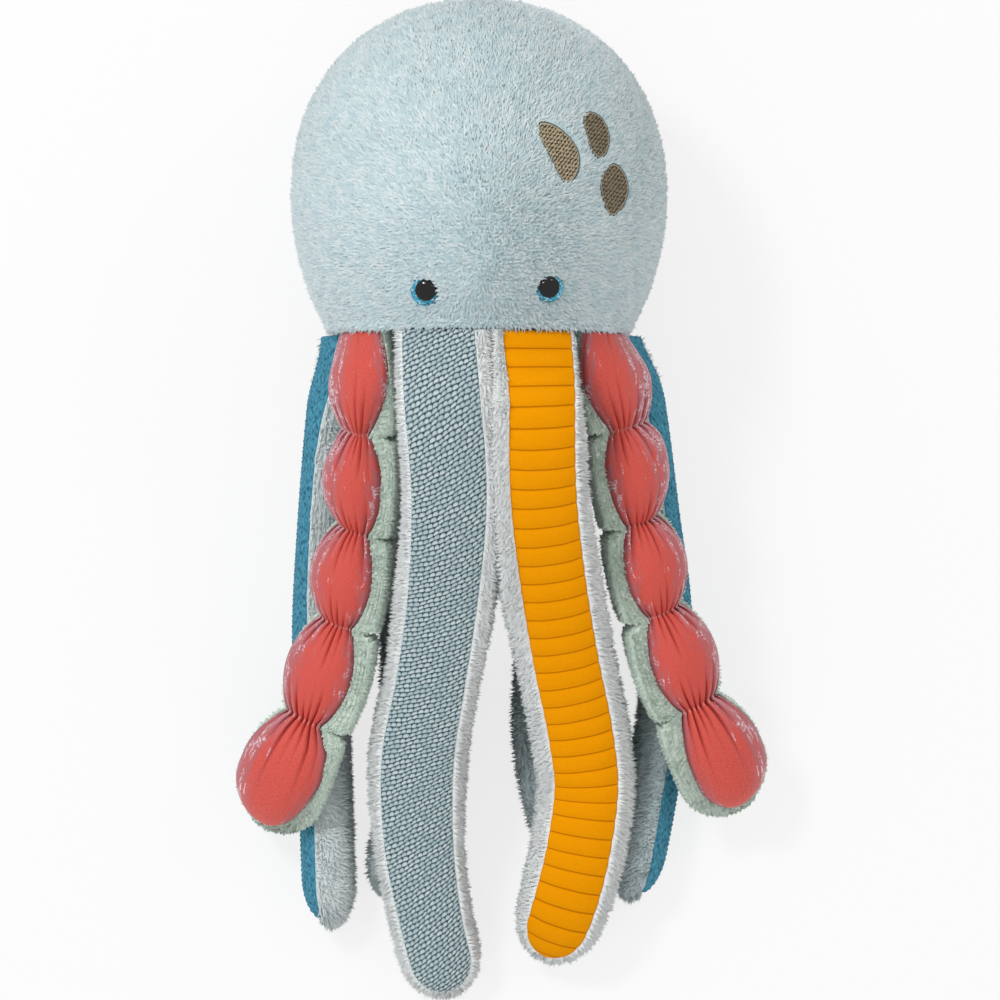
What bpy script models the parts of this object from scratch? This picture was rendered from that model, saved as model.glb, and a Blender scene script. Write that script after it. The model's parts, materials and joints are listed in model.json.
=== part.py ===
# Plush jellyfish lying on its back: a fur-covered head with two safety eyes and
# three embroidered spots, and eight stuffed arms that each carry a fabric panel.
# Metres, +Z up. The crown of the head points along +Y and the face looks up.

import math

import bmesh
import bpy
import numpy as np
from mathutils import Matrix, Vector

MM = 0.001

# Clearances
TOUCH_GAP = 0.3 * MM          # between two pieces that lie against each other
PANEL_GAP = 0.4 * MM          # between a panel's edge and the recess that it is sewn into
UNDER_GAP = 1.4 * MM          # under a panel, where the recess twists with the arm
REST_GAP = 3.0 * MM           # between an arm and the arm that it lies over

# Head: a turned form about the crown's axis, measured over the fur
HEAD_RADIUS = 93.75 * MM
HEAD_UPPER = 97.5 * MM        # widest ring up to the crown
HEAD_LOWER = 69.5 * MM        # widest ring down to the base
HEAD_LOWER_CURVE = 115.0 * MM # semi-axis of the ellipse below the widest ring
HEAD_ROUNDNESS = 2.15         # superellipse exponent above the widest ring
HEAD_HEM = 5.0 * MM           # rounding where the side meets the base
BACK_FLAT = 5.0 * MM          # depth pressed flat where the head lies
HEAD_SIDES = 36
HEAD_CURVE_STEPS = 7          # of the profile above the widest ring

# Base cloth and the ring of arms sewn round it
SEAM_INSET = 8.7 * MM         # arm centres inside the head's base edge
ROOT_DEPTH = 14.0 * MM        # an arm's thickness where it is sewn on
ROOT_SPACE = 2.4 * MM         # between neighbouring arms at the seam
FILL_LENGTH = 38.0 * MM       # from the seam to an arm's full thickness
BASE_CLOTH = 4.0 * MM
BASE_SPACE = 3.0 * MM         # between the base cloth's edge and the arms

# Safety eyes
EYE_RADIUS = 6.4 * MM
EYE_RISE = 4.2 * MM
EYE_FLANGE = 1.0 * MM
IRIS_RADIUS = 6.9 * MM
IRIS_THICKNESS = 0.7 * MM
EYE_SINK = 2.4 * MM           # how deep the iris lies in the fur
SHANK_RADIUS = 2.0 * MM
SHANK_LENGTH = 11.0 * MM
SHANK_CLEARANCE = 0.4 * MM
WASHER_RADIUS = 6.5 * MM
WASHER_THICKNESS = 1.6 * MM
WASHER_DEPTH = 7.0 * MM       # from the iris's seat to the washer
EYE_SIDES = 12
EYES = {"left": (-25.7 * MM, 148.6 * MM), "right": (34.6 * MM, 147.7 * MM)}

# Embroidered spots: outlines seen from above, as (x, distance below the crown)
SPOT_SINK = 1.6 * MM          # stitches lie below the fur's surface
SPOT_THICKNESS = 1.6 * MM
SPOT_OUTLINES = {
    "large": ((28.5, 69.3), (31.4, 67.3), (37.8, 69.3), (43.7, 74.0), (47.8, 79.8), (49.2, 85.7),
              (48.4, 91.5), (46.1, 95.7), (43.1, 97.2), (40.5, 95.7), (37.0, 89.2), (32.9, 81.1),
              (29.5, 74.6)),
    "upper": ((51.5, 62.5), (54.5, 61.3), (59.2, 63.0), (62.1, 67.2), (63.9, 73.1), (63.3, 78.9),
              (61.0, 83.6), (58.0, 84.2), (54.5, 80.1), (52.5, 73.1), (51.2, 67.2)),
    "lower": ((61.7, 89.1), (65.2, 86.2), (69.3, 87.9), (72.3, 92.6), (73.2, 98.5), (71.7, 105.1),
              (68.2, 110.4), (64.6, 112.1), (62.3, 109.2), (60.5, 103.9), (59.3, 98.5),
              (59.9, 93.2)),
}

NUB_HEIGHT = 1.0 * MM         # of the nubby weave

# Arm thickness by kind, and the heights at which arms lie over each other
FRONT_DEPTH = 26.0 * MM
REAR_DEPTH = 21.0 * MM
FLANK_DEPTH = 25.0 * MM
SIDE_BACK = 15.0 * MM         # a puffed arm's casing below its seam
PUFF_RISE = 14.0 * MM         # a puff's crown above the seam
ON_FLOOR = REAR_DEPTH / 2 + NUB_HEIGHT
FLANK_LIE = 18.0 * MM         # centre of an arm that lies on its edge
OVER_REAR = ON_FLOOR + (REAR_DEPTH + FRONT_DEPTH) / 2 + REST_GAP
OVER_FLANK = 2 * FLANK_LIE + SIDE_BACK + REST_GAP
TIP_ROUND = 25.0 * MM         # length over which an arm's end rounds off
REAR_FROM = 120.0             # ring angle from which an arm lies under the others

# Panels
PANEL_THICKNESS = 2.6 * MM
FRONT_DOME = 3.4 * MM
DOME_ROUNDNESS = 2.5          # exponent of a panel's section
RIB_PITCH = 9.05 * MM
RIB_DEPTH = 1.5 * MM
RIB_SHARES = (0.0, 0.28, 0.72)        # a rib's valley and the two ends of its flat top
REAR_RIB_SHARES = (0.0, 0.5)
REAR_RIB_PITCH = 2 * RIB_PITCH        # plainer on the side that faces the floor
NUB_ROWS = 56
DIMPLE_HEIGHT = 1.4 * MM
DIMPLE_ROWS = 32
PLEAT_HEIGHT = 1.3 * MM
GATHERS = (0.19, 0.376, 0.56, 0.76)   # shares of the arm's length
GATHER_PULL = 0.46            # share of the puffed panel's width that the elastic takes in
CASING_PULL_OUTER = 0.42      # the same for the casing's outer and inner side
CASING_PULL_INNER = 0.10
GATHER_RISE = 0.24            # share of a puff's height that is left at a gather
PUFF_ROUNDNESS = 0.7          # exponent of a puff's swell between gathers
PUFF_INNER_SHARE = 0.7        # a puffed panel's inner half against its outer half
ROOT_PUFF_START = -0.09       # where the first puff would begin, inside the head
PANEL_COLUMNS = {"woven": 7, "ribbed": 4, "dimpled": 5, "puffed": 10}
REAR_COLUMNS = {"woven": 4, "ribbed": 3}
BUMPS = {"woven": NUB_HEIGHT, "dimpled": DIMPLE_HEIGHT}
PANEL_NAMES = {"woven": "woven_panel", "ribbed": "ribbed_panel",
               "puffed": "puffed_panel", "dimpled": "dimpled_panel"}

# Arm lengths from the base to the tip, seen from above
FRONT_LEFT_LENGTH = 339.0 * MM
FRONT_RIGHT_LENGTH = 320.0 * MM
SIDE_LEFT_LENGTH = 251.0 * MM
SIDE_RIGHT_LENGTH = 242.0 * MM
FLANK_LEFT_LENGTH = 303.0 * MM
FLANK_RIGHT_LENGTH = 289.0 * MM
REAR_LEFT_LENGTH = 286.0 * MM
REAR_RIGHT_LENGTH = 270.0 * MM

# Each arm: its angle round the base from straight up, then stations along it: distance
# aside from its root, share of its length, height, width, panel width, facing angle.
# Lengths are millimetres here. Near stations have their height from the root, far ones
# from the floor, and a height that depends on another arm is added by name.
OVER_REAR_MM = OVER_REAR / MM
OVER_FLANK_MM = OVER_FLANK / MM
ON_FLOOR_MM = ON_FLOOR / MM
FLANK_LIE_MM = FLANK_LIE / MM
ARMS = {
    "front_left": dict(ring=-16.0, kind="woven", length=FRONT_LEFT_LENGTH,
        near=((1.2, 0.097, -3.2, 44, 37, -4), (3.7, 0.242, -22.2, 44, 36.5, 0),
        (0.2, 0.389, -54.2, 47, 34.5, 0), (-5.8, 0.51, -77.2, 45.5, 34.4, 0)),
        far=((-12.8, 0.631, OVER_REAR_MM + 16, 48.5, 36.4, 0),
        (-12.8, 0.755, OVER_REAR_MM + 1, 44.6, 34.9, 0), (-6.8, 0.879, 26, 41, 31.5, 0),
        (3.2, 1, 11, 40, 31, 0))),
    "front_right": dict(ring=25.4, kind="ribbed", length=FRONT_RIGHT_LENGTH,
        near=((1.7, 0.134, -2.4, 43.5, 32, 6), (3.2, 0.256, -18.4, 44, 32, 2),
        (8.2, 0.381, -42.4, 47, 32, 0), (15.1, 0.509, -68.4, 48, 32.2, 0)),
        far=((23.3, 0.637, OVER_REAR_MM + 20, 48.5, 32.2, 0),
        (25.9, 0.703, OVER_REAR_MM + 11, 48, 32, 0), (23, 0.8, OVER_REAR_MM + 4, 47.5, 32, 0),
        (15.7, 0.9, 33, 45, 31.5, 0), (4.7, 1, 14, 38, 27, 0))),
    "side_left": dict(ring=-60.0, kind="puffed", outer=-1, length=SIDE_LEFT_LENGTH,
        near=((-0.5, 0.127, -4.7, 43, 40, -43), (-1, 0.287, -18.7, 44, 42, -40),
        (-7.8, 0.474, -35.7, 46, 43, -35)),
        far=((-20.2, 0.677, OVER_FLANK_MM + 15, 49, 44, -30),
        (-39.3, 0.857, OVER_FLANK_MM + 4, 50, 45, -15), (-54.8, 1, 26, 50, 45, -8))),
    "side_right": dict(ring=66.0, kind="puffed", outer=1, length=SIDE_RIGHT_LENGTH,
        near=((7.7, 0.132, -9.6, 43, 40, 42), (15.2, 0.298, -19.6, 44, 42, 38),
        (25.3, 0.492, -33.6, 46, 43, 34)),
        far=((39.2, 0.674, OVER_FLANK_MM + 14, 49, 44, 30),
        (57.7, 0.847, OVER_FLANK_MM + 1, 50, 45, 14), (74.7, 1, 26, 50, 45, 8))),
    "flank_left": dict(ring=-105.0, kind="dimpled", length=FLANK_LEFT_LENGTH,
        near=((-4.3, 0.066, -7.7, 42, 32, -90), (-11.3, 0.149, -16.7, 41, 32, -84)),
        far=((-16.3, 0.32, 38, 40, 32, -80), (-19.3, 0.508, 24, 40, 32, -78),
        (-17.3, 0.677, FLANK_LIE_MM, 38, 31, -78), (-15.3, 0.868, FLANK_LIE_MM, 36, 29, -78),
        (-14, 1, 15, 33, 26, -78))),
    "flank_right": dict(ring=108.0, kind="dimpled", length=FLANK_RIGHT_LENGTH,
        near=((7.2, 0.069, -9.4, 42, 32, 92), (17.7, 0.156, -18.4, 41, 32, 86)),
        far=((27.2, 0.336, 33, 40, 32, 80), (32.2, 0.457, 23, 40, 32, 78),
        (33.2, 0.657, FLANK_LIE_MM, 40, 32, 78), (27.2, 0.785, FLANK_LIE_MM, 38, 31, 78),
        (20.2, 0.917, FLANK_LIE_MM, 34, 27, 78), (15.2, 1, 15, 30, 23, 78))),
    "rear_left": dict(ring=-152.0, kind="ribbed", length=REAR_LEFT_LENGTH,
        near=(),
        far=((4, 0.175, 18, 42, 32, -166), (2, 0.395, ON_FLOOR_MM, 45, 34, -176),
        (3, 0.577, ON_FLOOR_MM, 46, 34, -180), (1.5, 0.755, ON_FLOOR_MM, 44, 33, -180),
        (-6, 0.902, ON_FLOOR_MM, 37, 28, -180), (-20, 1, ON_FLOOR_MM, 30, 22, -180))),
    "rear_right": dict(ring=160.0, kind="woven", length=REAR_RIGHT_LENGTH,
        near=(),
        far=((1.4, 0.185, 18, 42, 32, 170), (10.4, 0.419, ON_FLOOR_MM, 45, 34, 178),
        (18.4, 0.611, ON_FLOOR_MM, 46, 34, 180), (17.4, 0.741, ON_FLOOR_MM, 46, 34, 180),
        (19.4, 0.837, ON_FLOOR_MM, 44, 33, 180), (22.4, 0.919, ON_FLOOR_MM, 40, 30, 180),
        (23.4, 1, ON_FLOOR_MM, 34, 26, 180))),
}
BODY_SHARES = (0.0, 0.035, 0.07, 0.115, 0.17, 0.24, 0.33, 0.44, 0.55, 0.66, 0.77, 0.89)
PUFF_SHARES = (0.0, 0.14, 0.38, 0.64, 0.87)
TIP_SHARES = (0.0, 0.35, 0.6, 0.78)   # stations of the rounded end that the panel shares
END_SHARES = (0.81, 0.86, 0.93, 0.985)
PANEL_END = 0.8               # share of the rounded end at which the panel closes

# Worked-out sizes
AXIS_HEIGHT = HEAD_RADIUS - BACK_FLAT
BASE_RADIUS = HEAD_RADIUS * math.sqrt(1 - (HEAD_LOWER / HEAD_LOWER_CURVE) ** 2)
RING_RADIUS = BASE_RADIUS - SEAM_INSET
RING_ANGLES = sorted(arm["ring"] for arm in ARMS.values())
RING_STEPS = [b - a for a, b in zip(RING_ANGLES, RING_ANGLES[1:] + [RING_ANGLES[0] + 360])]
ROOT_WIDTH = 2 * RING_RADIUS * math.sin(math.radians(min(RING_STEPS) / 2)) - ROOT_SPACE
BASE_PLANE = -(HEAD_UPPER + HEAD_LOWER)

# Materials: base colour, roughness
FINISHES = {
    "fur": ((0.52, 0.62, 0.64), 0.95),
    "velour": ((0.33, 0.41, 0.34), 0.9),
    "woven": ((0.30, 0.41, 0.45), 0.9),
    "ribbed": ((0.82, 0.30, 0.01), 0.85),
    "puffed": ((0.60, 0.11, 0.09), 0.4),
    "dimpled": ((0.07, 0.20, 0.30), 0.85),
    "stitching": ((0.20, 0.17, 0.12), 0.6),
    "base_cloth": ((0.45, 0.52, 0.53), 0.9),
    "eye_black": ((0.01, 0.01, 0.012), 0.08),
    "iris_blue": ((0.02, 0.28, 0.48), 0.3),
    "washer_white": ((0.8, 0.8, 0.78), 0.5),
}


def clear_scene():
    for item in list(bpy.data.objects):
        bpy.data.objects.remove(item, do_unlink=True)


def new_collection(name):
    collection = bpy.data.collections.new(name)
    bpy.context.scene.collection.children.link(collection)
    return collection


def finish_material(name):
    color, roughness = FINISHES[name]
    material = bpy.data.materials.new(name)
    material.use_nodes = True
    shader = material.node_tree.nodes["Principled BSDF"]
    shader.inputs["Base Color"].default_value = (*color, 1.0)
    shader.inputs["Roughness"].default_value = roughness
    material.diffuse_color = (*color, 1.0)
    return material


def add_piece(name, mesh, material=None, cutter=False):
    piece = bpy.data.objects.new(name, mesh)
    piece.parent = FRAME
    if cutter:
        CUTTERS.objects.link(piece)
        piece.hide_render = True
        piece.display_type = "WIRE"
    else:
        PARTS.objects.link(piece)
        mesh.materials.append(material)
    return piece


def boolean(piece, operation, other):
    modifier = piece.modifiers.new(operation.title(), "BOOLEAN")
    modifier.operation = operation
    modifier.solver = "EXACT"
    modifier.object = other


# Turned pieces: a profile of (radius, height), top to bottom, about the local Z axis
def turned_mesh(name, profile, closed=False):
    edges = [(i, i + 1) for i in range(len(profile) - 1)]
    if closed:
        edges.append((len(profile) - 1, 0))
    mesh = bpy.data.meshes.new(name)
    mesh.from_pydata([(r, 0.0, z) for r, z in profile], edges, [])
    return mesh


def turn(piece, sides):
    screw = piece.modifiers.new("Turn", "SCREW")
    screw.axis = "Z"
    screw.angle = math.tau
    screw.steps = sides
    screw.render_steps = sides
    screw.use_merge_vertices = True
    screw.merge_threshold = 0.00002
    screw.use_smooth_shade = True


def head_profile(inset=0.0):
    radius = HEAD_RADIUS - inset
    upper = HEAD_UPPER - inset
    lower = HEAD_LOWER - inset
    curve = HEAD_LOWER_CURVE - inset
    power = 2 / HEAD_ROUNDNESS
    points = []
    for step in range(HEAD_CURVE_STEPS + 1):
        angle = math.pi / 2 * step / HEAD_CURVE_STEPS
        points.append((radius * math.sin(angle) ** power, upper * abs(math.cos(angle)) ** power))
    points[0] = (0.0, upper)
    points[-1] = (radius, 0.0)
    hem_top = lower - HEAD_HEM
    for step in range(1, 4):
        drop = hem_top * step / 3
        points.append((radius * math.sqrt(1 - (drop / curve) ** 2), -drop))
    edge = radius * math.sqrt(1 - (lower / curve) ** 2)
    points.append((edge - 0.2 * HEAD_HEM, -lower + 0.35 * HEAD_HEM))
    points.append((edge - HEAD_HEM, -lower))
    points.append((0.0, -lower))
    return points


def head_pose():
    centre = Vector((0.0, -HEAD_UPPER, AXIS_HEIGHT))
    return Matrix.Translation(centre) @ Matrix.Rotation(-math.pi / 2, 4, "X")


def head_radius_at(below_crown):
    if below_crown < HEAD_UPPER:
        share = (HEAD_UPPER - below_crown) / HEAD_UPPER
        return HEAD_RADIUS * (1 - share ** HEAD_ROUNDNESS) ** (1 / HEAD_ROUNDNESS)
    return HEAD_RADIUS * math.sqrt(1 - ((below_crown - HEAD_UPPER) / HEAD_LOWER_CURVE) ** 2)


def face_frame(x, below_crown):
    # Place on the upper side of the head, with local Z along the surface's normal
    step = 0.5 * MM
    radius = head_radius_at(below_crown)
    slope = (head_radius_at(below_crown + step) - head_radius_at(below_crown - step)) / (2 * step)
    up = math.sqrt(radius ** 2 - x ** 2)
    normal = Vector((x / radius, slope, up / radius)).normalized()
    place = Vector((x, -below_crown, AXIS_HEIGHT + up))
    side = Vector((0, -1, 0)).cross(normal).normalized()
    rotation = Matrix((side, normal.cross(side), normal)).transposed().to_4x4()
    return Matrix.Translation(place) @ rotation


def flat_prism(name, outline, bottom, top):
    # A flat outline as a filled curve, thickened between two heights, made a mesh
    curve = bpy.data.curves.new(name, "CURVE")
    curve.dimensions = "2D"
    curve.fill_mode = "BOTH"
    curve.extrude = (top - bottom) / 2
    spline = curve.splines.new("POLY")
    spline.points.add(len(outline) - 1)
    for point, (x, y) in zip(spline.points, outline):
        point.co = (x, y, 0, 1)
    spline.use_cyclic_u = True
    holder = bpy.data.objects.new(name, curve)
    CUTTERS.objects.link(holder)
    graph = bpy.context.evaluated_depsgraph_get()
    mesh = bpy.data.meshes.new_from_object(holder.evaluated_get(graph))
    bpy.data.objects.remove(holder, do_unlink=True)
    bm = bmesh_from(mesh)
    bmesh.ops.remove_doubles(bm, verts=bm.verts, dist=0.00001)
    bmesh.ops.translate(bm, verts=bm.verts, vec=(0, 0, (top + bottom) / 2))
    bmesh.ops.recalc_face_normals(bm, faces=bm.faces)
    bm.to_mesh(mesh)
    bm.free()
    return mesh


def spot_outline(points, grow=0.0):
    # The outline in metres, moved outwards from its middle
    points = [Vector((x, -y)) * MM for x, y in points]
    centre = sum(points, Vector((0, 0))) / len(points)
    return [p + (p - centre).normalized() * grow for p in points]


# Arms
def smooth_track(knots, values, places):
    # A smooth curve through values at knots, read at places
    knots = np.asarray(knots, float)
    values = np.asarray(values, float)
    slopes = np.gradient(values, knots, axis=0)
    index = np.clip(np.searchsorted(knots, places, side="right") - 1, 0, len(knots) - 2)
    span = (knots[index + 1] - knots[index])
    t = ((places - knots[index]) / span)[:, None]
    span = span[:, None]
    start, end = values[index], values[index + 1]
    rise, fall = slopes[index] * span, slopes[index + 1] * span
    return ((2 * t ** 3 - 3 * t ** 2 + 1) * start + (t ** 3 - 2 * t ** 2 + t) * rise
            + (3 * t ** 2 - 2 * t ** 3) * end + (t ** 3 - t ** 2) * fall)


def arm_route(arm):
    # Stations in metres: x, y, z, width, panel width, facing angle
    angle = math.radians(arm["ring"])
    root_x = RING_RADIUS * math.sin(angle)
    root_z = AXIS_HEIGHT + RING_RADIUS * math.cos(angle)
    first = (arm["near"] + arm["far"])[0]
    trim = (first[3] - first[4]) * MM
    rows = [(root_x, BASE_PLANE - TOUCH_GAP, root_z, ROOT_WIDTH, ROOT_WIDTH - trim, arm["ring"])]
    for level, stations in ((root_z, arm["near"]), (0.0, arm["far"])):
        for aside, share, height, width, panel, facing in stations:
            rows.append((root_x + aside * MM, BASE_PLANE - share * arm["length"],
                         level + height * MM, width * MM, panel * MM, facing))
    rows = np.array(rows)
    steps = np.hypot(np.diff(rows[:, 0]), np.diff(rows[:, 1]))
    knots = np.concatenate(([0.0], np.cumsum(steps)))
    return knots, rows


def arm_frames(arm, places):
    # Centre, across, outward and the track's other values at distances along the arm
    knots, rows = arm_route(arm)
    track = smooth_track(knots, rows, places)
    step = 1.0 * MM
    ahead = smooth_track(knots, rows, np.minimum(places + step, knots[-1]))[:, :3]
    behind = smooth_track(knots, rows, np.maximum(places - step, 0.0))[:, :3]
    along = ahead - behind
    along /= np.linalg.norm(along, axis=1)[:, None]
    free = filling(places / 1.5)[:, None]
    along = along * free + np.array((0.0, -1.0, 0.0)) * (1 - free)
    along /= np.linalg.norm(along, axis=1)[:, None]
    facing = np.radians(track[:, 5])
    outward = np.stack([np.sin(facing), np.zeros_like(facing), np.cos(facing)], axis=1)
    outward -= along * np.sum(outward * along, axis=1)[:, None]
    outward /= np.linalg.norm(outward, axis=1)[:, None]
    across = np.cross(outward, along)
    return track, across, outward


def between(stations, places, values):
    # Straight between the body's own stations, so a panel follows the same facets
    return np.stack([np.interp(places, stations, values[:, i])
                     for i in range(values.shape[1])], axis=1)


def loft(name, rings, floor):
    # Rings of equal count, root first, closed with a face at each end. The side that
    # starts at point floor is split the same way in an arm and in its panel.
    count = len(rings[0])
    verts = [tuple(p) for ring in rings for p in ring]
    faces = [tuple(reversed(range(count)))]
    for row in range(len(rings) - 1):
        low, high = row * count, (row + 1) * count
        for i in range(count):
            j = (i + 1) % count
            if i == floor:
                left, right = (i, j) if floor == 1 else (j, i)
                faces.append((low + left, low + right, high + right))
                faces.append((low + left, high + right, high + left))
            else:
                faces.append((low + i, low + j, high + j, high + i))
    faces.append(tuple(range((len(rings) - 1) * count, len(rings) * count)))
    mesh = bpy.data.meshes.new(name)
    mesh.from_pydata(verts, [], faces)
    bm = bmesh_from(mesh)
    bmesh.ops.recalc_face_normals(bm, faces=bm.faces)
    bm.to_mesh(mesh)
    bm.free()
    return mesh


def bmesh_from(mesh):
    bm = bmesh.new()
    bm.from_mesh(mesh)
    return bm


def filling(places):
    # 0 at the seam, 1 where the arm has its full thickness
    share = np.clip(places / FILL_LENGTH, 0.0, 1.0)
    return share * share * (3 - 2 * share)


def body_rounding(places, length):
    share = np.clip((places - (length - TIP_ROUND)) / TIP_ROUND, 0.0, 1.0)
    return np.sqrt(1 - share ** 2)


def panel_rounding(places, length):
    share = np.clip((places - (length - TIP_ROUND)) / TIP_ROUND / PANEL_END, 0.0, 1.0)
    return np.sqrt(1 - share ** 2)


def puff_fullness(places, length):
    # 0 at each gather and 1 at a puff's middle
    ends = (ROOT_PUFF_START,) + GATHERS + (1.0,)
    share = places / length
    full = np.ones_like(share)
    for low, high in zip(ends[:-1], ends[1:]):
        inside = (share >= low) & (share <= high)
        local = (share - low) / (high - low)
        if high == 1.0:
            local = np.minimum(local, 0.5)
        full[inside] = np.clip(np.sin(math.pi * local[inside]), 0.0, 1.0) ** PUFF_ROUNDNESS
    return full


def is_rear(arm):
    return abs(arm["ring"]) > REAR_FROM


def arm_depths(arm, places):
    # Seam level, crown and back of the section, measured from the arm's centre
    fill = filling(places)
    if arm["kind"] == "puffed":
        seam = np.full_like(places, 1.0 * MM)
        crown = ROOT_DEPTH / 2 + (PUFF_RISE - ROOT_DEPTH / 2) * fill
        back = ROOT_DEPTH / 2 + (SIDE_BACK - ROOT_DEPTH / 2) * fill
        return seam, crown, back
    depth = FLANK_DEPTH if arm["kind"] == "dimpled" else FRONT_DEPTH
    if is_rear(arm):
        depth = REAR_DEPTH
    crown = (ROOT_DEPTH + (depth - ROOT_DEPTH) * fill) / 2
    return crown - FRONT_DOME * (0.5 + 0.5 * fill), crown, crown


def arm_stations(arm):
    length = arm_route(arm)[0][-1]
    round_start = length - TIP_ROUND
    tip = round_start + TIP_ROUND * np.array(TIP_SHARES)
    end = round_start + TIP_ROUND * np.array(END_SHARES)
    if arm["kind"] == "puffed":
        edges = (0.0,) + GATHERS
        main = []
        for low, high in zip(edges[:-1], edges[1:]):
            main.extend(low + (high - low) * np.array(PUFF_SHARES))
        low, high = GATHERS[-1], round_start / length
        main.extend(low + (high - low) * np.array((0.0, 0.18, 0.45, 0.75)))
        main = np.array(main) * length
    else:
        main = round_start * np.array(BODY_SHARES)
    shared = np.concatenate((main, tip))
    return shared, end, length


def half_widths(arm, places, track, length):
    # Body and panel half widths, left and right, with the gathers' pull
    body = track[:, 3] / 2 * body_rounding(places, length)
    panel = track[:, 4] / 2 * panel_rounding(places, length)
    if arm["kind"] != "puffed":
        return body, body, panel, panel
    slack = 1 - puff_fullness(places, length)
    outer_body = body * (1 - CASING_PULL_OUTER * slack)
    inner_body = body * (1 - CASING_PULL_INNER * slack)
    outer_panel = panel * (1 - GATHER_PULL * slack)
    narrowing = np.array((0.5, 1.5)) * GATHERS[0] * length
    inner_panel = outer_panel * np.interp(places, narrowing, (1.0, PUFF_INNER_SHARE))
    if arm["outer"] < 0:
        return outer_body, inner_body, outer_panel, inner_panel
    return inner_body, outer_body, inner_panel, outer_panel


def section_point(track, across, outward, u, v):
    return track[:3] + across * u + outward * v


def arm_body_mesh(name, arm):
    shared, end, length = arm_stations(arm)
    places = np.concatenate((shared, end))
    track, across, outward = arm_frames(arm, places)
    seam, crown, back = arm_depths(arm, places)
    round_off = body_rounding(places, length)
    left, right, panel_left, panel_right = half_widths(arm, places, track, length)
    rings = []
    for i, place in enumerate(places):
        fade = round_off[i]
        top = seam[i] * fade
        has_panel = i < len(shared) + 1
        source = min(i, len(shared) - 1)
        low_l = panel_left[source] + PANEL_GAP
        low_r = panel_right[source] + PANEL_GAP
        if has_panel:
            floor = top - PANEL_THICKNESS - UNDER_GAP
            recess = [(-low_l, top), (-low_l, floor), (low_r, floor), (low_r, top)]
        else:
            lift = top + 0.12 * (crown[i] - seam[i])
            wide_l, wide_r = 0.7 * left[i], 0.7 * right[i]
            recess = [(-wide_l, top), (-wide_l / 3, lift), (wide_r / 3, lift), (wide_r, top)]
        depth = back[i] * fade
        shoulder = 0.35 * top
        outline = recess + [
            (right[i], shoulder), (0.93 * right[i], -0.5 * depth), (0.56 * right[i], -0.9 * depth),
            (0.0, -depth),
            (-0.56 * left[i], -0.9 * depth), (-0.93 * left[i], -0.5 * depth), (-left[i], shoulder)]
        ring = [section_point(track[i], across[i], outward[i], u, v) for u, v in outline]
        rings.append([(p[0], p[1], max(p[2], 0.0)) for p in ring])
    return loft(name, rings, 1)


def panel_rows(arm, start):
    # Places along the arm, up to its rounded end, and how many of them make one rib
    rear = is_rear(arm)
    if arm["kind"] == "ribbed":
        shares = REAR_RIB_SHARES if rear else RIB_SHARES
        count = round(start / (REAR_RIB_PITCH if rear else RIB_PITCH))
        rows = [start * (rib + share) / count for rib in range(count) for share in shares]
        return np.array(rows), len(shares)
    rows = DIMPLE_ROWS if arm["kind"] == "dimpled" else NUB_ROWS // (2 if rear else 1)
    return np.linspace(0, start, rows, endpoint=False), 0


def panel_mesh(name, arm):
    kind = arm["kind"]
    shared, _, length = arm_stations(arm)
    columns = REAR_COLUMNS[kind] if is_rear(arm) else PANEL_COLUMNS[kind]
    places, per_rib = shared, 0
    if kind != "puffed":
        rows, per_rib = panel_rows(arm, length - TIP_ROUND)
        places = np.concatenate((rows, shared[-len(TIP_SHARES):]))
    track, across, outward = arm_frames(arm, shared)
    seam, crown, _ = arm_depths(arm, shared)
    fade = body_rounding(shared, length)
    left, right = half_widths(arm, shared, track, length)[2:]
    centre = track[:, :3] + outward * (seam * fade)[:, None]
    edge_left = between(shared, places, centre - across * left[:, None])
    edge_right = between(shared, places, centre + across * right[:, None])
    out = between(shared, places, outward)
    rises = np.interp(places, shared, crown - seam) * panel_rounding(places, length)
    full = puff_fullness(places, length)
    shares = np.linspace(-1.0, 1.0, columns)
    rings = []
    for i, rise in enumerate(rises):
        in_tip = i >= len(places) - len(TIP_SHARES)
        ring = []
        for j, share in enumerate(shares):
            edge = j in (0, columns - 1)
            lift = rise * (1 - abs(share) ** DOME_ROUNDNESS)
            if kind == "puffed":
                lift *= GATHER_RISE + (1 - GATHER_RISE) * full[i]
                if not edge:
                    lift += (-1) ** j * PLEAT_HEIGHT * (1 - full[i]) ** 1.5
            elif per_rib and not in_tip and i % per_rib == 0:
                lift -= RIB_DEPTH * (0.4 if edge else 1.0)
            elif kind in BUMPS and not edge and not in_tip:
                lift += BUMPS[kind] * ((i + j) % 2 - 0.5)
            flat = edge_left[i] + (edge_right[i] - edge_left[i]) * (share + 1) / 2
            ring.append(flat + out[i] * lift)
        ring.append(edge_right[i] - out[i] * PANEL_THICKNESS)
        ring.append(edge_left[i] - out[i] * PANEL_THICKNESS)
        rings.append(ring)
    return loft(name, rings, columns)


def make_arm(name, arm, materials):
    casing = "velour" if arm["kind"] == "puffed" else "fur"
    body_name = name + "_arm"
    add_piece(body_name, arm_body_mesh(body_name, arm), materials[casing])
    panel_name = name + "_" + PANEL_NAMES[arm["kind"]]
    add_piece(panel_name, panel_mesh(panel_name, arm), materials[arm["kind"]])


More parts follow.
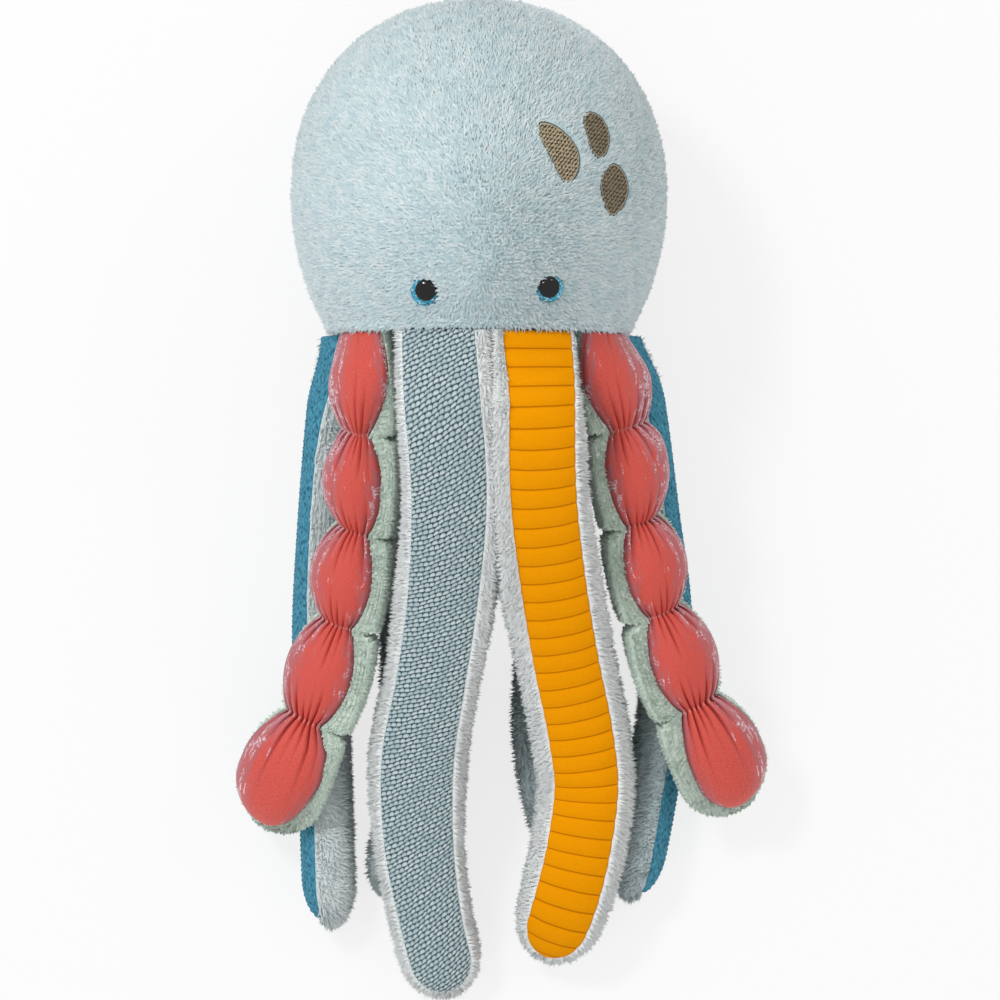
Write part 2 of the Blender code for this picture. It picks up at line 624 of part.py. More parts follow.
def make_eye(side, materials):
    x, below_crown = EYES[side]
    place = face_frame(x, below_crown) @ Matrix.Translation((0, 0, -EYE_SINK))
    iris_top = IRIS_THICKNESS
    dome_foot = iris_top + TOUCH_GAP
    dome = [(0.0, dome_foot + EYE_RISE)]
    for angle in (30, 55, 78):
        a = math.radians(angle)
        dome.append((EYE_RADIUS * math.sin(a),
                     dome_foot + EYE_FLANGE + (EYE_RISE - EYE_FLANGE) * math.cos(a)))
    dome += [(EYE_RADIUS, dome_foot), (SHANK_RADIUS, dome_foot),
             (SHANK_RADIUS, dome_foot - SHANK_LENGTH), (0.0, dome_foot - SHANK_LENGTH)]
    hole = SHANK_RADIUS + SHANK_CLEARANCE
    iris = [(hole, iris_top), (IRIS_RADIUS, iris_top), (IRIS_RADIUS, 0.0), (hole, 0.0)]
    washer_top = -WASHER_DEPTH
    washer_foot = washer_top - WASHER_THICKNESS
    washer = [(hole, washer_top), (WASHER_RADIUS, washer_top),
              (WASHER_RADIUS, washer_foot), (hole, washer_foot)]
    for part, profile, slot in (("dome", dome, "eye_black"), ("iris", iris, "iris_blue"),
                                ("washer", washer, "washer_white")):
        name = "eye_" + side + "_" + part
        mesh = turned_mesh(name, profile, closed=part != "dome")
        piece = add_piece(name, mesh, materials[slot])
        piece.matrix_basis = place
        turn(piece, EYE_SIDES)
    # The socket: a seat for the iris, a bore for the shank and a pocket for the washer
    bore = hole + TOUCH_GAP
    seat = IRIS_RADIUS + 2 * TOUCH_GAP
    pocket = WASHER_RADIUS + TOUCH_GAP
    pocket_foot = min(washer_foot, dome_foot - SHANK_LENGTH) - TOUCH_GAP
    socket = [(0.0, 3 * EYE_RISE), (seat, 3 * EYE_RISE), (seat, -TOUCH_GAP), (bore, -TOUCH_GAP),
              (bore, washer_top + TOUCH_GAP), (pocket, washer_top + TOUCH_GAP),
              (pocket, pocket_foot), (0.0, pocket_foot)]
    name = "cut_eye_" + side
    cutter = add_piece(name, turned_mesh(name, socket), cutter=True)
    cutter.matrix_basis = place
    turn(cutter, EYE_SIDES)
    return cutter


def head_layer(name, inset):
    layer = add_piece(name, turned_mesh(name, head_profile(inset)), cutter=True)
    layer.matrix_basis = head_pose()
    turn(layer, HEAD_SIDES)
    return layer


def make_spots(materials):
    # Each spot is an outline cut from a thin layer just inside the head's surface
    top_layer = head_layer("cut_spot_top", SPOT_SINK)
    floor_layer = head_layer("cut_spot_floor", SPOT_SINK + SPOT_THICKNESS)
    recess_layer = head_layer("cut_spot_recess", SPOT_SINK + SPOT_THICKNESS + TOUCH_GAP)
    cutters = []
    roof = 2 * HEAD_RADIUS
    for name, points in SPOT_OUTLINES.items():
        full_name = "spot_" + name
        mesh = flat_prism(full_name, spot_outline(points), AXIS_HEIGHT, roof)
        spot = add_piece(full_name, mesh, materials["stitching"])
        boolean(spot, "INTERSECT", top_layer)
        boolean(spot, "DIFFERENCE", floor_layer)
        cut_name = "cut_" + full_name
        wider = spot_outline(points, grow=2 * TOUCH_GAP)
        cutter = add_piece(cut_name, flat_prism(cut_name, wider, AXIS_HEIGHT, roof), cutter=True)
        boolean(cutter, "DIFFERENCE", recess_layer)
        cutters.append(cutter)
    return cutters


def floor_cutter():
    # Everything below the floor, which presses the back of the head flat
    reach = 2 * HEAD_RADIUS
    bpy.ops.mesh.primitive_cube_add(size=1.0)
    block = bpy.context.object
    block.name = "cut_floor"
    block.data.transform(Matrix.Diagonal((2 * reach, 2 * reach, reach, 1.0)))
    block.location = (0.0, -HEAD_UPPER, -reach / 2)
    for collection in list(block.users_collection):
        collection.objects.unlink(block)
    CUTTERS.objects.link(block)
    block.parent = FRAME
    block.hide_render = True
    block.display_type = "WIRE"
    return block


def make_head(materials):
    head = add_piece("head_plush", turned_mesh("head_plush", head_profile()),
                     materials["fur"])
    head.matrix_basis = head_pose()
    turn(head, HEAD_SIDES)
    cutters = [floor_cutter()] + make_spots(materials)
    cutters += [make_eye(side, materials) for side in EYES]
    for cutter in cutters:
        boolean(head, "DIFFERENCE", cutter)


def make_base(materials):
    radius = RING_RADIUS - ROOT_DEPTH / 2 - BASE_SPACE
    profile = [(0.0, 0.0), (radius, 0.0), (radius, -0.5 * BASE_CLOTH),
               (radius - 0.5 * BASE_CLOTH, -BASE_CLOTH), (0.0, -BASE_CLOTH)]
    base = add_piece("head_base", turned_mesh("head_base", profile),
                     materials["base_cloth"])
    base.matrix_basis = head_pose() @ Matrix.Translation((0, 0, -HEAD_LOWER - TOUCH_GAP))
    turn(base, HEAD_SIDES // 2)


def centre_on_base():
    # The middle of the lowest plane of the whole object becomes the origin
    bpy.context.view_layer.update()
    graph = bpy.context.evaluated_depsgraph_get()
    points = []
    for piece in PARTS.objects:
        if piece.type == "MESH":
            ready = piece.evaluated_get(graph)
            points += [ready.matrix_world @ v.co for v in ready.data.vertices]
    cloud = np.array([tuple(p) for p in points])
    low, high = cloud.min(axis=0), cloud.max(axis=0)
    FRAME.location = (-(low[0] + high[0]) / 2, -(low[1] + high[1]) / 2, -low[2])


clear_scene()
PARTS = new_collection("plush_jellyfish")
CUTTERS = new_collection("cutters")
FRAME = bpy.data.objects.new("frame", None)
PARTS.objects.link(FRAME)
MATERIALS = {name: finish_material(name) for name in FINISHES}
make_head(MATERIALS)
make_base(MATERIALS)
for arm_name, arm_data in ARMS.items():
    make_arm(arm_name, arm_data, MATERIALS)
centre_on_base()
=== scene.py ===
import json
import math

import bpy
import numpy as np
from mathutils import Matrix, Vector

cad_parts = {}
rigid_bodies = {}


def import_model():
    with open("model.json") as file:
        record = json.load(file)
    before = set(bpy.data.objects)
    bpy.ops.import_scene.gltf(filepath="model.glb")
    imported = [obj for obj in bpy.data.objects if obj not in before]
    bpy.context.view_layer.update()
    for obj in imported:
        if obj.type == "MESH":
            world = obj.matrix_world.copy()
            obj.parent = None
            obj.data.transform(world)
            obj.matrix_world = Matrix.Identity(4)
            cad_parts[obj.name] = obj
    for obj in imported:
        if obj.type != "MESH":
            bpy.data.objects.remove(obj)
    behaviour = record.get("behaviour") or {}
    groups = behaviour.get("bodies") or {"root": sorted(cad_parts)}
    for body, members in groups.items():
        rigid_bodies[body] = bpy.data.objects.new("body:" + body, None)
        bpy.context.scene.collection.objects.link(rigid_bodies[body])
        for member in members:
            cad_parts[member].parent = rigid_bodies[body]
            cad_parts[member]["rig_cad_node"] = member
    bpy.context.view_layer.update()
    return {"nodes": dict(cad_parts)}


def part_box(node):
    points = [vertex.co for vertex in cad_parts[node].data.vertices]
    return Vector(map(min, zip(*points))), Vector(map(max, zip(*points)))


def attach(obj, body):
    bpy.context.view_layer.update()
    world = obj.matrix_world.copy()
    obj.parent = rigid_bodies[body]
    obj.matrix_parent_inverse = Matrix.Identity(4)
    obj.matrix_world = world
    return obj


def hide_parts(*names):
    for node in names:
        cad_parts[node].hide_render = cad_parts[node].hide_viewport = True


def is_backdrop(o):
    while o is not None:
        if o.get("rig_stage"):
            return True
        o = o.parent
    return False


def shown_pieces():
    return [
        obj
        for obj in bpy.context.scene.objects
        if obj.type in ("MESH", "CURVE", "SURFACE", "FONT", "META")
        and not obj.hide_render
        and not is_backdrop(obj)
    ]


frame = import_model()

print("frame loaded")

mm = 0.001
headLow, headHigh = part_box("head_plush")
anchor = np.array(((headLow.x + headHigh.x) / 2, headHigh.y, 0.0))   # the crown, at floor level

# Everything below is in millimetres from the anchor: +y towards the crown, +z up


# Shader maths on sockets
class Wire:
    def __init__(self, paint, socket):
        self.paint = paint
        self.socket = socket

    def __add__(self, other):
        return self.paint.math("ADD", self, other)

    def __radd__(self, other):
        return self.paint.math("ADD", other, self)

    def __sub__(self, other):
        return self.paint.math("SUBTRACT", self, other)

    def __rsub__(self, other):
        return self.paint.math("SUBTRACT", other, self)

    def __mul__(self, other):
        return self.paint.math("MULTIPLY", self, other)

    def __rmul__(self, other):
        return self.paint.math("MULTIPLY", other, self)

    def __truediv__(self, other):
        return self.paint.math("DIVIDE", self, other)

    def __rtruediv__(self, other):
        return self.paint.math("DIVIDE", other, self)

    def __pow__(self, other):
        return self.paint.math("POWER", self, other)

    def __mod__(self, other):
        return self.paint.math("MODULO", self, other)


class Paint:
    def __init__(self, name, fixed):
        self.material = bpy.data.materials.new(name)
        self.material.use_nodes = True
        self.tree = self.material.node_tree
        self.shader = self.tree.nodes["Principled BSDF"]
        for socket, value in fixed.items():
            self.put(self.shader.inputs[socket], value)

    def put(self, target, value):
        if isinstance(value, Wire):
            self.tree.links.new(value.socket, target)
        elif target.type == "RGBA":
            target.default_value = (*value[:3], 1.0)
        else:
            target.default_value = value

    def node(self, kind, settings=None, inputs=None, output=0):
        made = self.tree.nodes.new(kind)
        for key, value in (settings or {}).items():
            if key == "stops":
                self.setStops(made.color_ramp, value)
            else:
                setattr(made, key, value)
        for key, value in (inputs or {}).items():
            self.put(made.inputs[key], value)
        return Wire(self, made.outputs[output])

    def setStops(self, ramp, stops):
        for element in list(ramp.elements)[1:]:
            ramp.elements.remove(element)
        ramp.elements[0].position = stops[0][0]
        ramp.elements[0].color = (*stops[0][1], 1.0)
        for place, color in stops[1:]:
            ramp.elements.new(place).color = (*color, 1.0)

    def math(self, operation, *values):
        return self.node("ShaderNodeMath", {"operation": operation}, dict(enumerate(values)))

    def mix(self, factor, first, second):
        return self.node("ShaderNodeMix", {"data_type": "RGBA"},
                         {0: factor, 6: first, 7: second}, 2)

    def ramp(self, value, stops):
        return self.node("ShaderNodeValToRGB", {"stops": stops}, {"Fac": value})

    def step(self, value, low, high):                # smooth 0 to 1 between low and high
        return self.node("ShaderNodeMapRange", {"interpolation_type": "SMOOTHSTEP"},
                         {"Value": value, "From Min": low, "From Max": high})

    def cloth(self):                                 # the piece's own surface coordinates
        return self.node("ShaderNodeUVMap", {"uv_map": "surface"})

    def split(self, vector):
        made = self.tree.nodes.new("ShaderNodeSeparateXYZ")
        self.put(made.inputs[0], vector)
        return Wire(self, made.outputs[0]), Wire(self, made.outputs[1])

    def join(self, x, y):
        return self.node("ShaderNodeCombineXYZ", None, {"X": x, "Y": y})

    def noise(self, vector, scale, detail=2.0):
        return self.node("ShaderNodeTexNoise", None,
                         {"Vector": vector, "Scale": scale, "Detail": detail})

    def chance(self, vector):                        # one random value for each whole cell
        return self.node("ShaderNodeTexWhiteNoise", {"noise_dimensions": "2D"},
                         {"Vector": vector})

    def color(self, value):
        self.put(self.shader.inputs["Base Color"], value)

    def bump(self, height, strength, distance):
        self.put(self.shader.inputs["Normal"], self.node(
            "ShaderNodeBump", None,
            {"Height": height, "Strength": strength, "Distance": distance}))


# Camera, floor and light
studio = dict(
    cameraX=10.5, cameraY=-250.0, cameraHeight=2400.0, lens=166.3,
    floorSize=9.0, floorColor=(0.92, 0.92, 0.92), floorGlow=0.77,
    worldColor=(1.0, 1.0, 1.0), worldStrength=0.62,
    keyPlace=(-0.9, 1.0, 1.9), keySize=0.4, keyPower=18.0,
    fillPlace=(1.3, 1.0, 1.7), fillSize=0.25, fillPower=3.5, fillColor=(1.0, 0.84, 0.68),
    lowPlace=(-0.6, -1.9, 1.5), lowSize=2.2, lowPower=8.0,
)


def makeCamera():
    data = bpy.data.cameras.new("camera")
    data.lens = studio["lens"]
    data.sensor_width = 36.0
    data.clip_end = 50.0
    camera = bpy.data.objects.new("camera", data)
    camera.location = Vector(anchor) + Vector(
        (studio["cameraX"], studio["cameraY"], studio["cameraHeight"])) * mm
    bpy.context.scene.collection.objects.link(camera)
    bpy.context.scene.camera = camera


def softLight(name, place, size, power, color=(1.0, 1.0, 1.0), mirrored=True):
    data = bpy.data.lights.new(name, "AREA")
    data.size = size
    data.energy = power
    data.color = color
    lamp = bpy.data.objects.new(name, data)
    lamp.location = place
    lamp.visible_glossy = mirrored
    lamp.rotation_mode = "QUATERNION"
    lamp.rotation_quaternion = (-Vector(place)).to_track_quat("-Z", "Y")
    bpy.context.scene.collection.objects.link(lamp)


def seenDirectly(paint):                             # camera, glossy and transmission rays
    made = paint.tree.nodes.new("ShaderNodeLightPath")
    rays = [Wire(paint, made.outputs[ray])
            for ray in ("Is Camera Ray", "Is Glossy Ray", "Is Transmission Ray")]
    return paint.math("MAXIMUM", paint.math("MAXIMUM", rays[0], rays[1]), rays[2])


def makeFloor():
    half = studio["floorSize"] / 2
    mesh = bpy.data.meshes.new("floor")
    mesh.from_pydata([(-half, -half, 0), (half, -half, 0), (half, half, 0), (-half, half, 0)],
                     [], [(0, 1, 2, 3)])
    floor = bpy.data.objects.new("floor", mesh)
    floor.location.z = -0.2 * mm
    bpy.context.scene.collection.objects.link(floor)
    paint = Paint("floor", {"Base Color": studio["floorColor"], "Roughness": 0.9,
                            "Specular IOR Level": 0.1})
    glow = paint.node("ShaderNodeEmission", None, {"Color": (1.0, 1.0, 1.0), "Strength": 1.0})
    both = paint.node("ShaderNodeMixShader", None,
                      {0: seenDirectly(paint) * studio["floorGlow"],
                       1: Wire(paint, paint.shader.outputs[0]), 2: glow})
    paint.put(paint.tree.nodes["Material Output"].inputs["Surface"], both)
    mesh.materials.append(paint.material)
    floor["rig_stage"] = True


def makeWorld():
    world = bpy.data.worlds.new("world")
    bpy.context.scene.world = world
    world.use_nodes = True
    tree = world.node_tree
    back = tree.nodes["Background"]
    back.inputs["Color"].default_value = (*studio["worldColor"], 1.0)
    back.inputs["Strength"].default_value = studio["worldStrength"]
    seen = tree.nodes.new("ShaderNodeBackground")
    seen.inputs["Color"].default_value = (1.0, 1.0, 1.0, 1.0)
    path = tree.nodes.new("ShaderNodeLightPath")
    mix = tree.nodes.new("ShaderNodeMixShader")
    tree.links.new(path.outputs["Is Camera Ray"], mix.inputs[0])
    tree.links.new(back.outputs[0], mix.inputs[1])
    tree.links.new(seen.outputs[0], mix.inputs[2])
    tree.links.new(mix.outputs[0], tree.nodes["World Output"].inputs["Surface"])


bpy.context.scene.view_settings.view_transform = "Standard"
makeCamera()
makeFloor()
makeWorld()
softLight("key", studio["keyPlace"], studio["keySize"], studio["keyPower"])
softLight("fill", studio["fillPlace"], studio["fillSize"], studio["fillPower"],
          studio["fillColor"])
softLight("low", studio["lowPlace"], studio["lowSize"], studio["lowPower"], mirrored=False)
print("studio made")


# Materials
def furPaint(name, shadedRoot, darkTip, paleTip, sheen=0.25):
    paint = Paint(name, {"Roughness": 0.9, "Specular IOR Level": 0.2,
                         "Sheen Weight": sheen, "Sheen Roughness": 0.5,
                         "Sheen Tint": (0.9, 0.97, 1.0)})
    shade, height = paint.split(paint.cloth())
    hairs = paint.noise(paint.join(shade * 110.0, height * 1.5), 1.0, 1.0)
    tip = paint.mix(shade + (hairs - 0.5) * 0.9, darkTip, paleTip)
    # painted shade: the colour darkens from the tips to the roots, standing in for the shade deep
    # in the pile
    paint.color(paint.mix(height ** 0.7, shadedRoot, tip))
    return paint.material


def wovenPaint(weave):
    # Plump pale yarns in staggered rows with dark gaps between them: the gaps are the ground yarn
    # with painted shade, the nubs' high middles a painted highlight
    paint = Paint("nubby_weave", {"Roughness": 0.85, "Specular IOR Level": 0.25,
                                  "Sheen Weight": 0.15})
    across, along = paint.split(paint.cloth())
    over = across * (100.0 / weave["nubWidth"])
    down = along * (100.0 / weave["nubLength"])
    down = down + over * weave["climb"] + paint.math("SINE", over * 2.3 + down * 0.9) * 0.12
    row = paint.math("FLOOR", down)
    over = over + (row % 2.0) * 0.5 + row * weave["drift"]
    over = over + paint.math("SINE", row * 2.4 + over * 0.8) * 0.18
    cell = paint.math("FLOOR", over)
    nearX = paint.math("FRACT", over) * 2.0 - 1.0
    nearY = paint.math("FRACT", down) * 2.0 - 1.0
    nearX = nearX * nearX
    luck = paint.chance(paint.join(cell, row))
    flecks = paint.noise(paint.cloth(), 900.0, 3.0)
    below = paint.math("MAXIMUM", nearY, 0.0) ** 1.8
    above = paint.math("MAXIMUM", 0.0 - nearY, 0.0) ** 1.8
    nub = 1.0 - below * (1.15 - 0.6 * nearX) - above * (0.45 + 0.7 * nearX) - nearX * nearX * 0.6
    nub = nub + (flecks - 0.5) * 0.9 - luck * 0.15
    # painted highlight: each nub is paler where it stands highest; the rest of its tone differs at
    # random
    yarn = paint.mix(luck * 0.6 + paint.step(nub, 0.4, 1.0) * 0.5, weave["yarnDark"],
                     weave["yarnPale"])
    yarn = paint.mix(paint.step(flecks, 0.3, 0.6), paint.mix(0.45, yarn, weave["gap"]), yarn)
    wash = paint.noise(paint.cloth(), 9.0, 1.0)
    nub = paint.step(nub, 0.12, 0.62)
    # the dark gap colour is the ground yarn, with painted shade between the nubs
    cloth = paint.mix(nub, weave["gap"], yarn)
    paint.color(paint.mix(paint.step(wash, 0.35, 0.75) * 0.22, cloth, weave["wash"]))
    paint.bump(nub + flecks * 0.6, 0.6, 0.0007)
    return paint.material


def ribbedPaint(ribs):
    # Matt ribbed cloth, darker in the stitched valleys, partly the stitch line and partly painted
    # shade; the panel's edges get painted shade where they turn down
    paint = Paint("mustard_rib", {"Roughness": 0.95, "Specular IOR Level": 0.03})
    across, along = paint.split(paint.cloth())
    edge = paint.step(paint.math("ABSOLUTE", across) * (100.0 / ribs["half"]), 0.95, 1.0)
    place = paint.math("FRACT", along * (100.0 / ribs["pitch"]))
    valley = paint.math("ABSOLUTE", place - 0.5) * 2.0
    flecks = paint.noise(paint.cloth(), 700.0, 4.0)
    cloud = paint.noise(paint.cloth(), 60.0, 2.0)
    cloth = paint.mix(paint.step(flecks, 0.3, 0.7), ribs["deep"], ribs["pale"])
    cloth = paint.mix(paint.step(cloud, 0.3, 0.7) * 0.35, cloth, ribs["deep"])
    # painted shade in the valleys and along the panel's edges, over the stitch line
    valley = paint.math("MAXIMUM", paint.step(valley, 0.86, 1.0) * 0.8, edge * 0.45)
    paint.color(paint.mix(valley, cloth, ribs["valley"]))
    grid = paint.math("SINE", across * 9000.0) * paint.math("SINE", along * 9000.0)
    paint.bump(flecks + grid * 0.2, 0.45, 0.0004)
    return paint.material


def coralPaint(coral):
    # Satin with a pearly foil: painted shade in the pleats at the gathers and along the edges, the
    # foil's mauve sheen painted at the edges, and painted glints
    paint = Paint("coral_satin", {"Roughness": 0.5, "Specular IOR Level": 0.25,
                                  "Coat Roughness": 0.25})
    cloth = paint.cloth()
    across, along = paint.split(cloth)
    share = across * (100.0 / coral["half"])
    puff = along * (100.0 / coral["puffLength"])
    slack = 1.0 - paint.math("SINE", paint.math("FRACT", puff) * math.pi) ** 0.7
    turns = share * coral["pleats"] + paint.math("SINE", puff * 2.8) * 0.5
    crease = (1.0 - paint.math("ABSOLUTE", paint.math("SINE", turns))) ** 2.5
    reach = 1.3 + paint.math("SINE", share * 7.0 + puff * 2.1) * 0.7
    pleat = crease * slack ** reach
    threads = paint.noise(paint.join(across * 60.0, along * 1100.0), 1.0, 2.0)
    streaks = paint.noise(paint.join(across * 70.0 + along * 12.0, along * 9.0), 1.0, 3.0)
    dots = paint.noise(cloth, 105.0, 2.0)
    grain = paint.noise(cloth, 330.0, 2.0)
    patch = paint.noise(paint.join(across * 30.0, along * 13.0), 1.0, 2.0)
    base = paint.mix(paint.step(threads * 0.5 + grain * 0.5, 0.36, 0.62), coral["deep"],
                     coral["bright"])
    # painted sheen: the foil's mauve sheen along the outer and inner edges
    far = paint.step(share - puff * 0.11 + (streaks - 0.5) * 1.5, -0.25, 0.45)
    near = paint.step(streaks - 0.5 - share, 0.72, 1.05)
    foilSheen = paint.math("MAXIMUM", far, near)
    base = paint.mix(foilSheen * paint.step(grain, 0.25, 0.6) * 0.8, base, coral["sheenMauve"])
    # painted highlights: glints in patches, and pale lines along the fold ridges
    gleam = paint.step(patch + foilSheen * 0.23 - puff * 0.01, 0.65, 0.80)
    glintSpecks = paint.step(dots * 0.6 + grain * 0.4, 0.48, 0.58)
    ridge = (1.0 - paint.math("ABSOLUTE", paint.math("COSINE", turns))) ** 4.0
    glint = paint.math("MAXIMUM", glintSpecks * gleam, ridge * slack * far * 0.6)
    base = paint.mix(glint * 0.8, base, coral["glint"])
    # painted shade in the pleats at the gathers and along the panel's edges
    edgeShade = paint.step(paint.math("ABSOLUTE", share), 0.92, 1.0)
    base = paint.mix(paint.math("MAXIMUM", pleat * 0.9, edgeShade * 0.6), base, coral["fold"])
    stitch = paint.step(slack, 0.86, 0.94) * paint.step(paint.math("SINE", share * 44.0), 0.2, 0.7)
    paint.color(paint.mix(stitch * 0.5, base, coral["stitch"]))
    paint.put(paint.shader.inputs["Coat Weight"], foilSheen * 0.25)
    paint.bump(threads + dots * 0.8 - pleat * 2.0, 0.4, 0.0004)
    return paint.material


def dimpledPaint(blue):
    paint = Paint("blue_dimple", {"Roughness": 0.85, "Specular IOR Level": 0.1,
                                  "Sheen Weight": 0.05})
    cloth = paint.cloth()
    across, along = paint.split(cloth)
    knit = paint.noise(paint.join(across * 95.0, along * 32.0), 1.0, 3.0)
    flecks = paint.noise(cloth, 300.0, 3.0)
    tone = paint.step(knit * 0.7 + flecks * 0.3, 0.36, 0.60)
    paint.color(paint.mix(tone, blue["deep"], blue["pale"]))
    paint.bump(flecks, 0.4, 0.0004)
    return paint.material


def stitchPaint(thread):
    # Satin stitch: fine parallel threads, painted pale where each would catch the light and dark
    # between them, as painted highlight and shade over the thread's own tone
    paint = Paint("embroidery", {"Roughness": 0.55, "Specular IOR Level": 0.25})
    cloth = paint.cloth()
    across, along = paint.split(cloth)
    border = paint.step(across, 4.9, 5.0)            # the border's map is set apart, in two steps
    outside = paint.step(across, 14.9, 15.0)
    across = across - (border + outside) * 10.0
    shift = paint.noise(paint.join(across, along), 75.0, 2.0)
    rows = (across * 0.8 + along * 0.6) * (100.0 / thread["pitch"]) + shift
    places = (along * 0.8 - across * 0.6) * (100.0 / thread["stitch"]) - shift * 1.4
    places = places + paint.math("FLOOR", rows) * 0.37
    strand = paint.math("SINE", rows * (2.0 * math.pi)) * 0.5 + 0.5
    ends = paint.math("SINE", places * (2.0 * math.pi)) * 0.5 + 0.5
    flecks = paint.noise(paint.join(across, along), 130.0, 2.0)
    tone = paint.step(strand * 0.4 + ends * 0.3 + flecks * 0.9, 0.66, 0.90)
    # painted shade: the spots right of dimFrom are painted darker, standing in for the shade on the
    # right of the head
    dim = 1.0 - paint.step(across, thread["dimFrom"], thread["dimFrom"] + 0.04) * 0.52
    cloth = paint.mix(tone * dim, thread["deep"], thread["pale"])
    cloth = paint.mix(border * (1.0 - outside) * 0.8, cloth, thread["border"])
    # painted shade: the outermost ring, where the spot sinks into the fur, is painted dark
    paint.color(paint.mix(outside * 0.85, cloth, thread["line"]))
    paint.bump(strand + ends * 0.6 + flecks * 0.6, 0.6, 0.0004)
    return paint.material


def eyePaint(eye):
    # Black pupil off centre on a glitter iris, with a dark rim
    paint = Paint("glitter_eye", {"Specular IOR Level": 0.5, "Roughness": 0.08})
    cloth = paint.cloth()
    x, y = paint.split(cloth)
    away = paint.math("SQRT", x * x + y * y)
    pupilX = x - eye["pupilSide"] / 10.0
    pupilY = y - eye["pupilUp"] / 10.0
    pupil = paint.math("SQRT", pupilX * pupilX + pupilY * pupilY)
    cells = paint.node("ShaderNodeTexVoronoi", {"feature": "F1"},
                       {"Vector": cloth, "Scale": 22.0}, 1)
    spark = paint.node("ShaderNodeSeparateColor", None, {0: cells})
    # painted glints: the palest flakes, flash, stand in for flakes catching the light; the other
    # flakes differ at random
    glitter = paint.ramp(spark, ((0.0, eye["deep"]), (0.5, eye["blue"]), (0.85, eye["bright"]),
                                 (1.0, eye["flash"])))
    iris = paint.mix(paint.step(away, 0.69, 0.75), glitter, eye["rim"])
    edge = eye["pupilRadius"] / 10.0
    outside = paint.step(pupil, edge - 0.015, edge + 0.015)
    paint.color(paint.mix(outside, (0.004, 0.004, 0.005), iris))
    paint.put(paint.shader.inputs["Metallic"], outside * 0.5)
    return paint.material


def plainPaint(name, color, speckle, roughness):
    paint = Paint(name, {"Roughness": roughness})
    spots = paint.noise(paint.cloth(), 60.0, 3.0)
    paint.color(paint.mix(spots, color, speckle))
    return paint.material


weave = dict(nubWidth=2.9, nubLength=2.28, climb=0.60, drift=0.03, height=1.2,
             yarnPale=(0.84, 0.94, 0.96), yarnDark=(0.34, 0.50, 0.55),
             gap=(0.035, 0.085, 0.11), wash=(0.26, 0.40, 0.45))
ribs = dict(pitch=9.05, depth=1.5, pale=(1.0, 0.40, 0.002), deep=(0.90, 0.31, 0.001),
            valley=(0.45, 0.12, 0.001), half=16.0)
coral = dict(bright=(0.83, 0.122, 0.092), deep=(0.56, 0.068, 0.054), sheenMauve=(0.36, 0.16, 0.21),
             glint=(0.95, 0.90, 0.99), fold=(0.14, 0.012, 0.018), stitch=(0.90, 0.50, 0.46),
             half=20.0, puffLength=48.0, pleats=11.3, pitch=1.3, pleatDepth=4.0)
blue = dict(pitch=5.2, height=0.8, pale=(0.09, 0.36, 0.50), deep=(0.02, 0.12, 0.20))
thread = dict(pitch=1.5, stitch=2.3, pale=(0.48, 0.40, 0.255), deep=(0.050, 0.036, 0.024),
              border=(0.42, 0.40, 0.31), line=(0.035, 0.045, 0.045), dimFrom=0.50)
eye = dict(pupilSide=0.0, pupilUp=1.7, pupilRadius=5.2, deep=(0.01, 0.10, 0.20),
           blue=(0.02, 0.30, 0.48), bright=(0.10, 0.60, 0.78), flash=(0.85, 0.97, 1.0),
           rim=(0.02, 0.12, 0.18))

finish = {
    "headFur": furPaint("head_fur", (0.56, 0.74, 0.79), (0.57, 0.76, 0.81), (0.95, 1.0, 1.0),
                        0.4),
    "armFur": furPaint("arm_fur", (0.90, 0.95, 0.95), (0.92, 0.97, 0.97), (1.0, 1.0, 0.99), 0.4),
    # painted shade: flank_fur and shaded_arm_fur are darker copies of arm_fur for arms that lie in
    # shade; flank_fur is partly its own more aqua tint
    "flankFur": furPaint("flank_fur", (0.72, 0.83, 0.85), (0.78, 0.89, 0.91),
                         (0.97, 1.0, 1.0), 0.4),
    "shadedArmFur": furPaint("shaded_arm_fur", (0.42, 0.53, 0.55), (0.48, 0.60, 0.62), (0.76, 0.84, 0.84)),
    "velour": furPaint("sage_velour", (0.52, 0.66, 0.56), (0.52, 0.67, 0.56),
                       (0.90, 1.0, 0.90), 0.3),
    "woven": wovenPaint(weave),
    "ribbed": ribbedPaint(ribs),
    "puffed": coralPaint(coral),
    "dimpled": dimpledPaint(blue),
    "stitching": stitchPaint(thread),
    "washer": plainPaint("washer_plastic", (0.80, 0.80, 0.78), (0.74, 0.74, 0.72), 0.5),
    "baseCloth": plainPaint("base_cloth", (0.45, 0.52, 0.53), (0.38, 0.45, 0.46), 0.9),
}
print("materials made")


# Meshes from numpy arrays
def addPiece(name, points, corners, sizes, surface, bake, material, nodes,
             normals=None):
    mesh = bpy.data.meshes.new(name)
    mesh.vertices.add(len(points))
    mesh.vertices.foreach_set("co", (anchor + points * mm).astype(np.float32).ravel())
    mesh.loops.add(len(corners))
    mesh.loops.foreach_set("vertex_index", np.asarray(corners, np.int32))
    mesh.polygons.add(len(sizes))
    starts = np.concatenate(([0], np.cumsum(sizes)[:-1]))
    mesh.polygons.foreach_set("loop_start", starts.astype(np.int32))
    mesh.update(calc_edges=True)
    for layerName, values in (("surface", surface), ("OFBake", bake)):
        layer = mesh.uv_layers.new(name=layerName)
        layer.data.foreach_set("uv", np.asarray(values, np.float32).ravel())
    mesh.validate()
    mesh.shade_smooth()
    if normals is not None:
        mesh.normals_split_custom_set_from_vertices(normals)
    mesh.materials.append(material)
    piece = bpy.data.objects.new(name, mesh)
    bpy.context.scene.collection.objects.link(piece)
    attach(piece, "root")
    if nodes:
        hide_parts(*nodes)


def unit(vectors):
    return vectors / np.maximum(np.linalg.norm(vectors, axis=-1, keepdims=True), 1e-9)


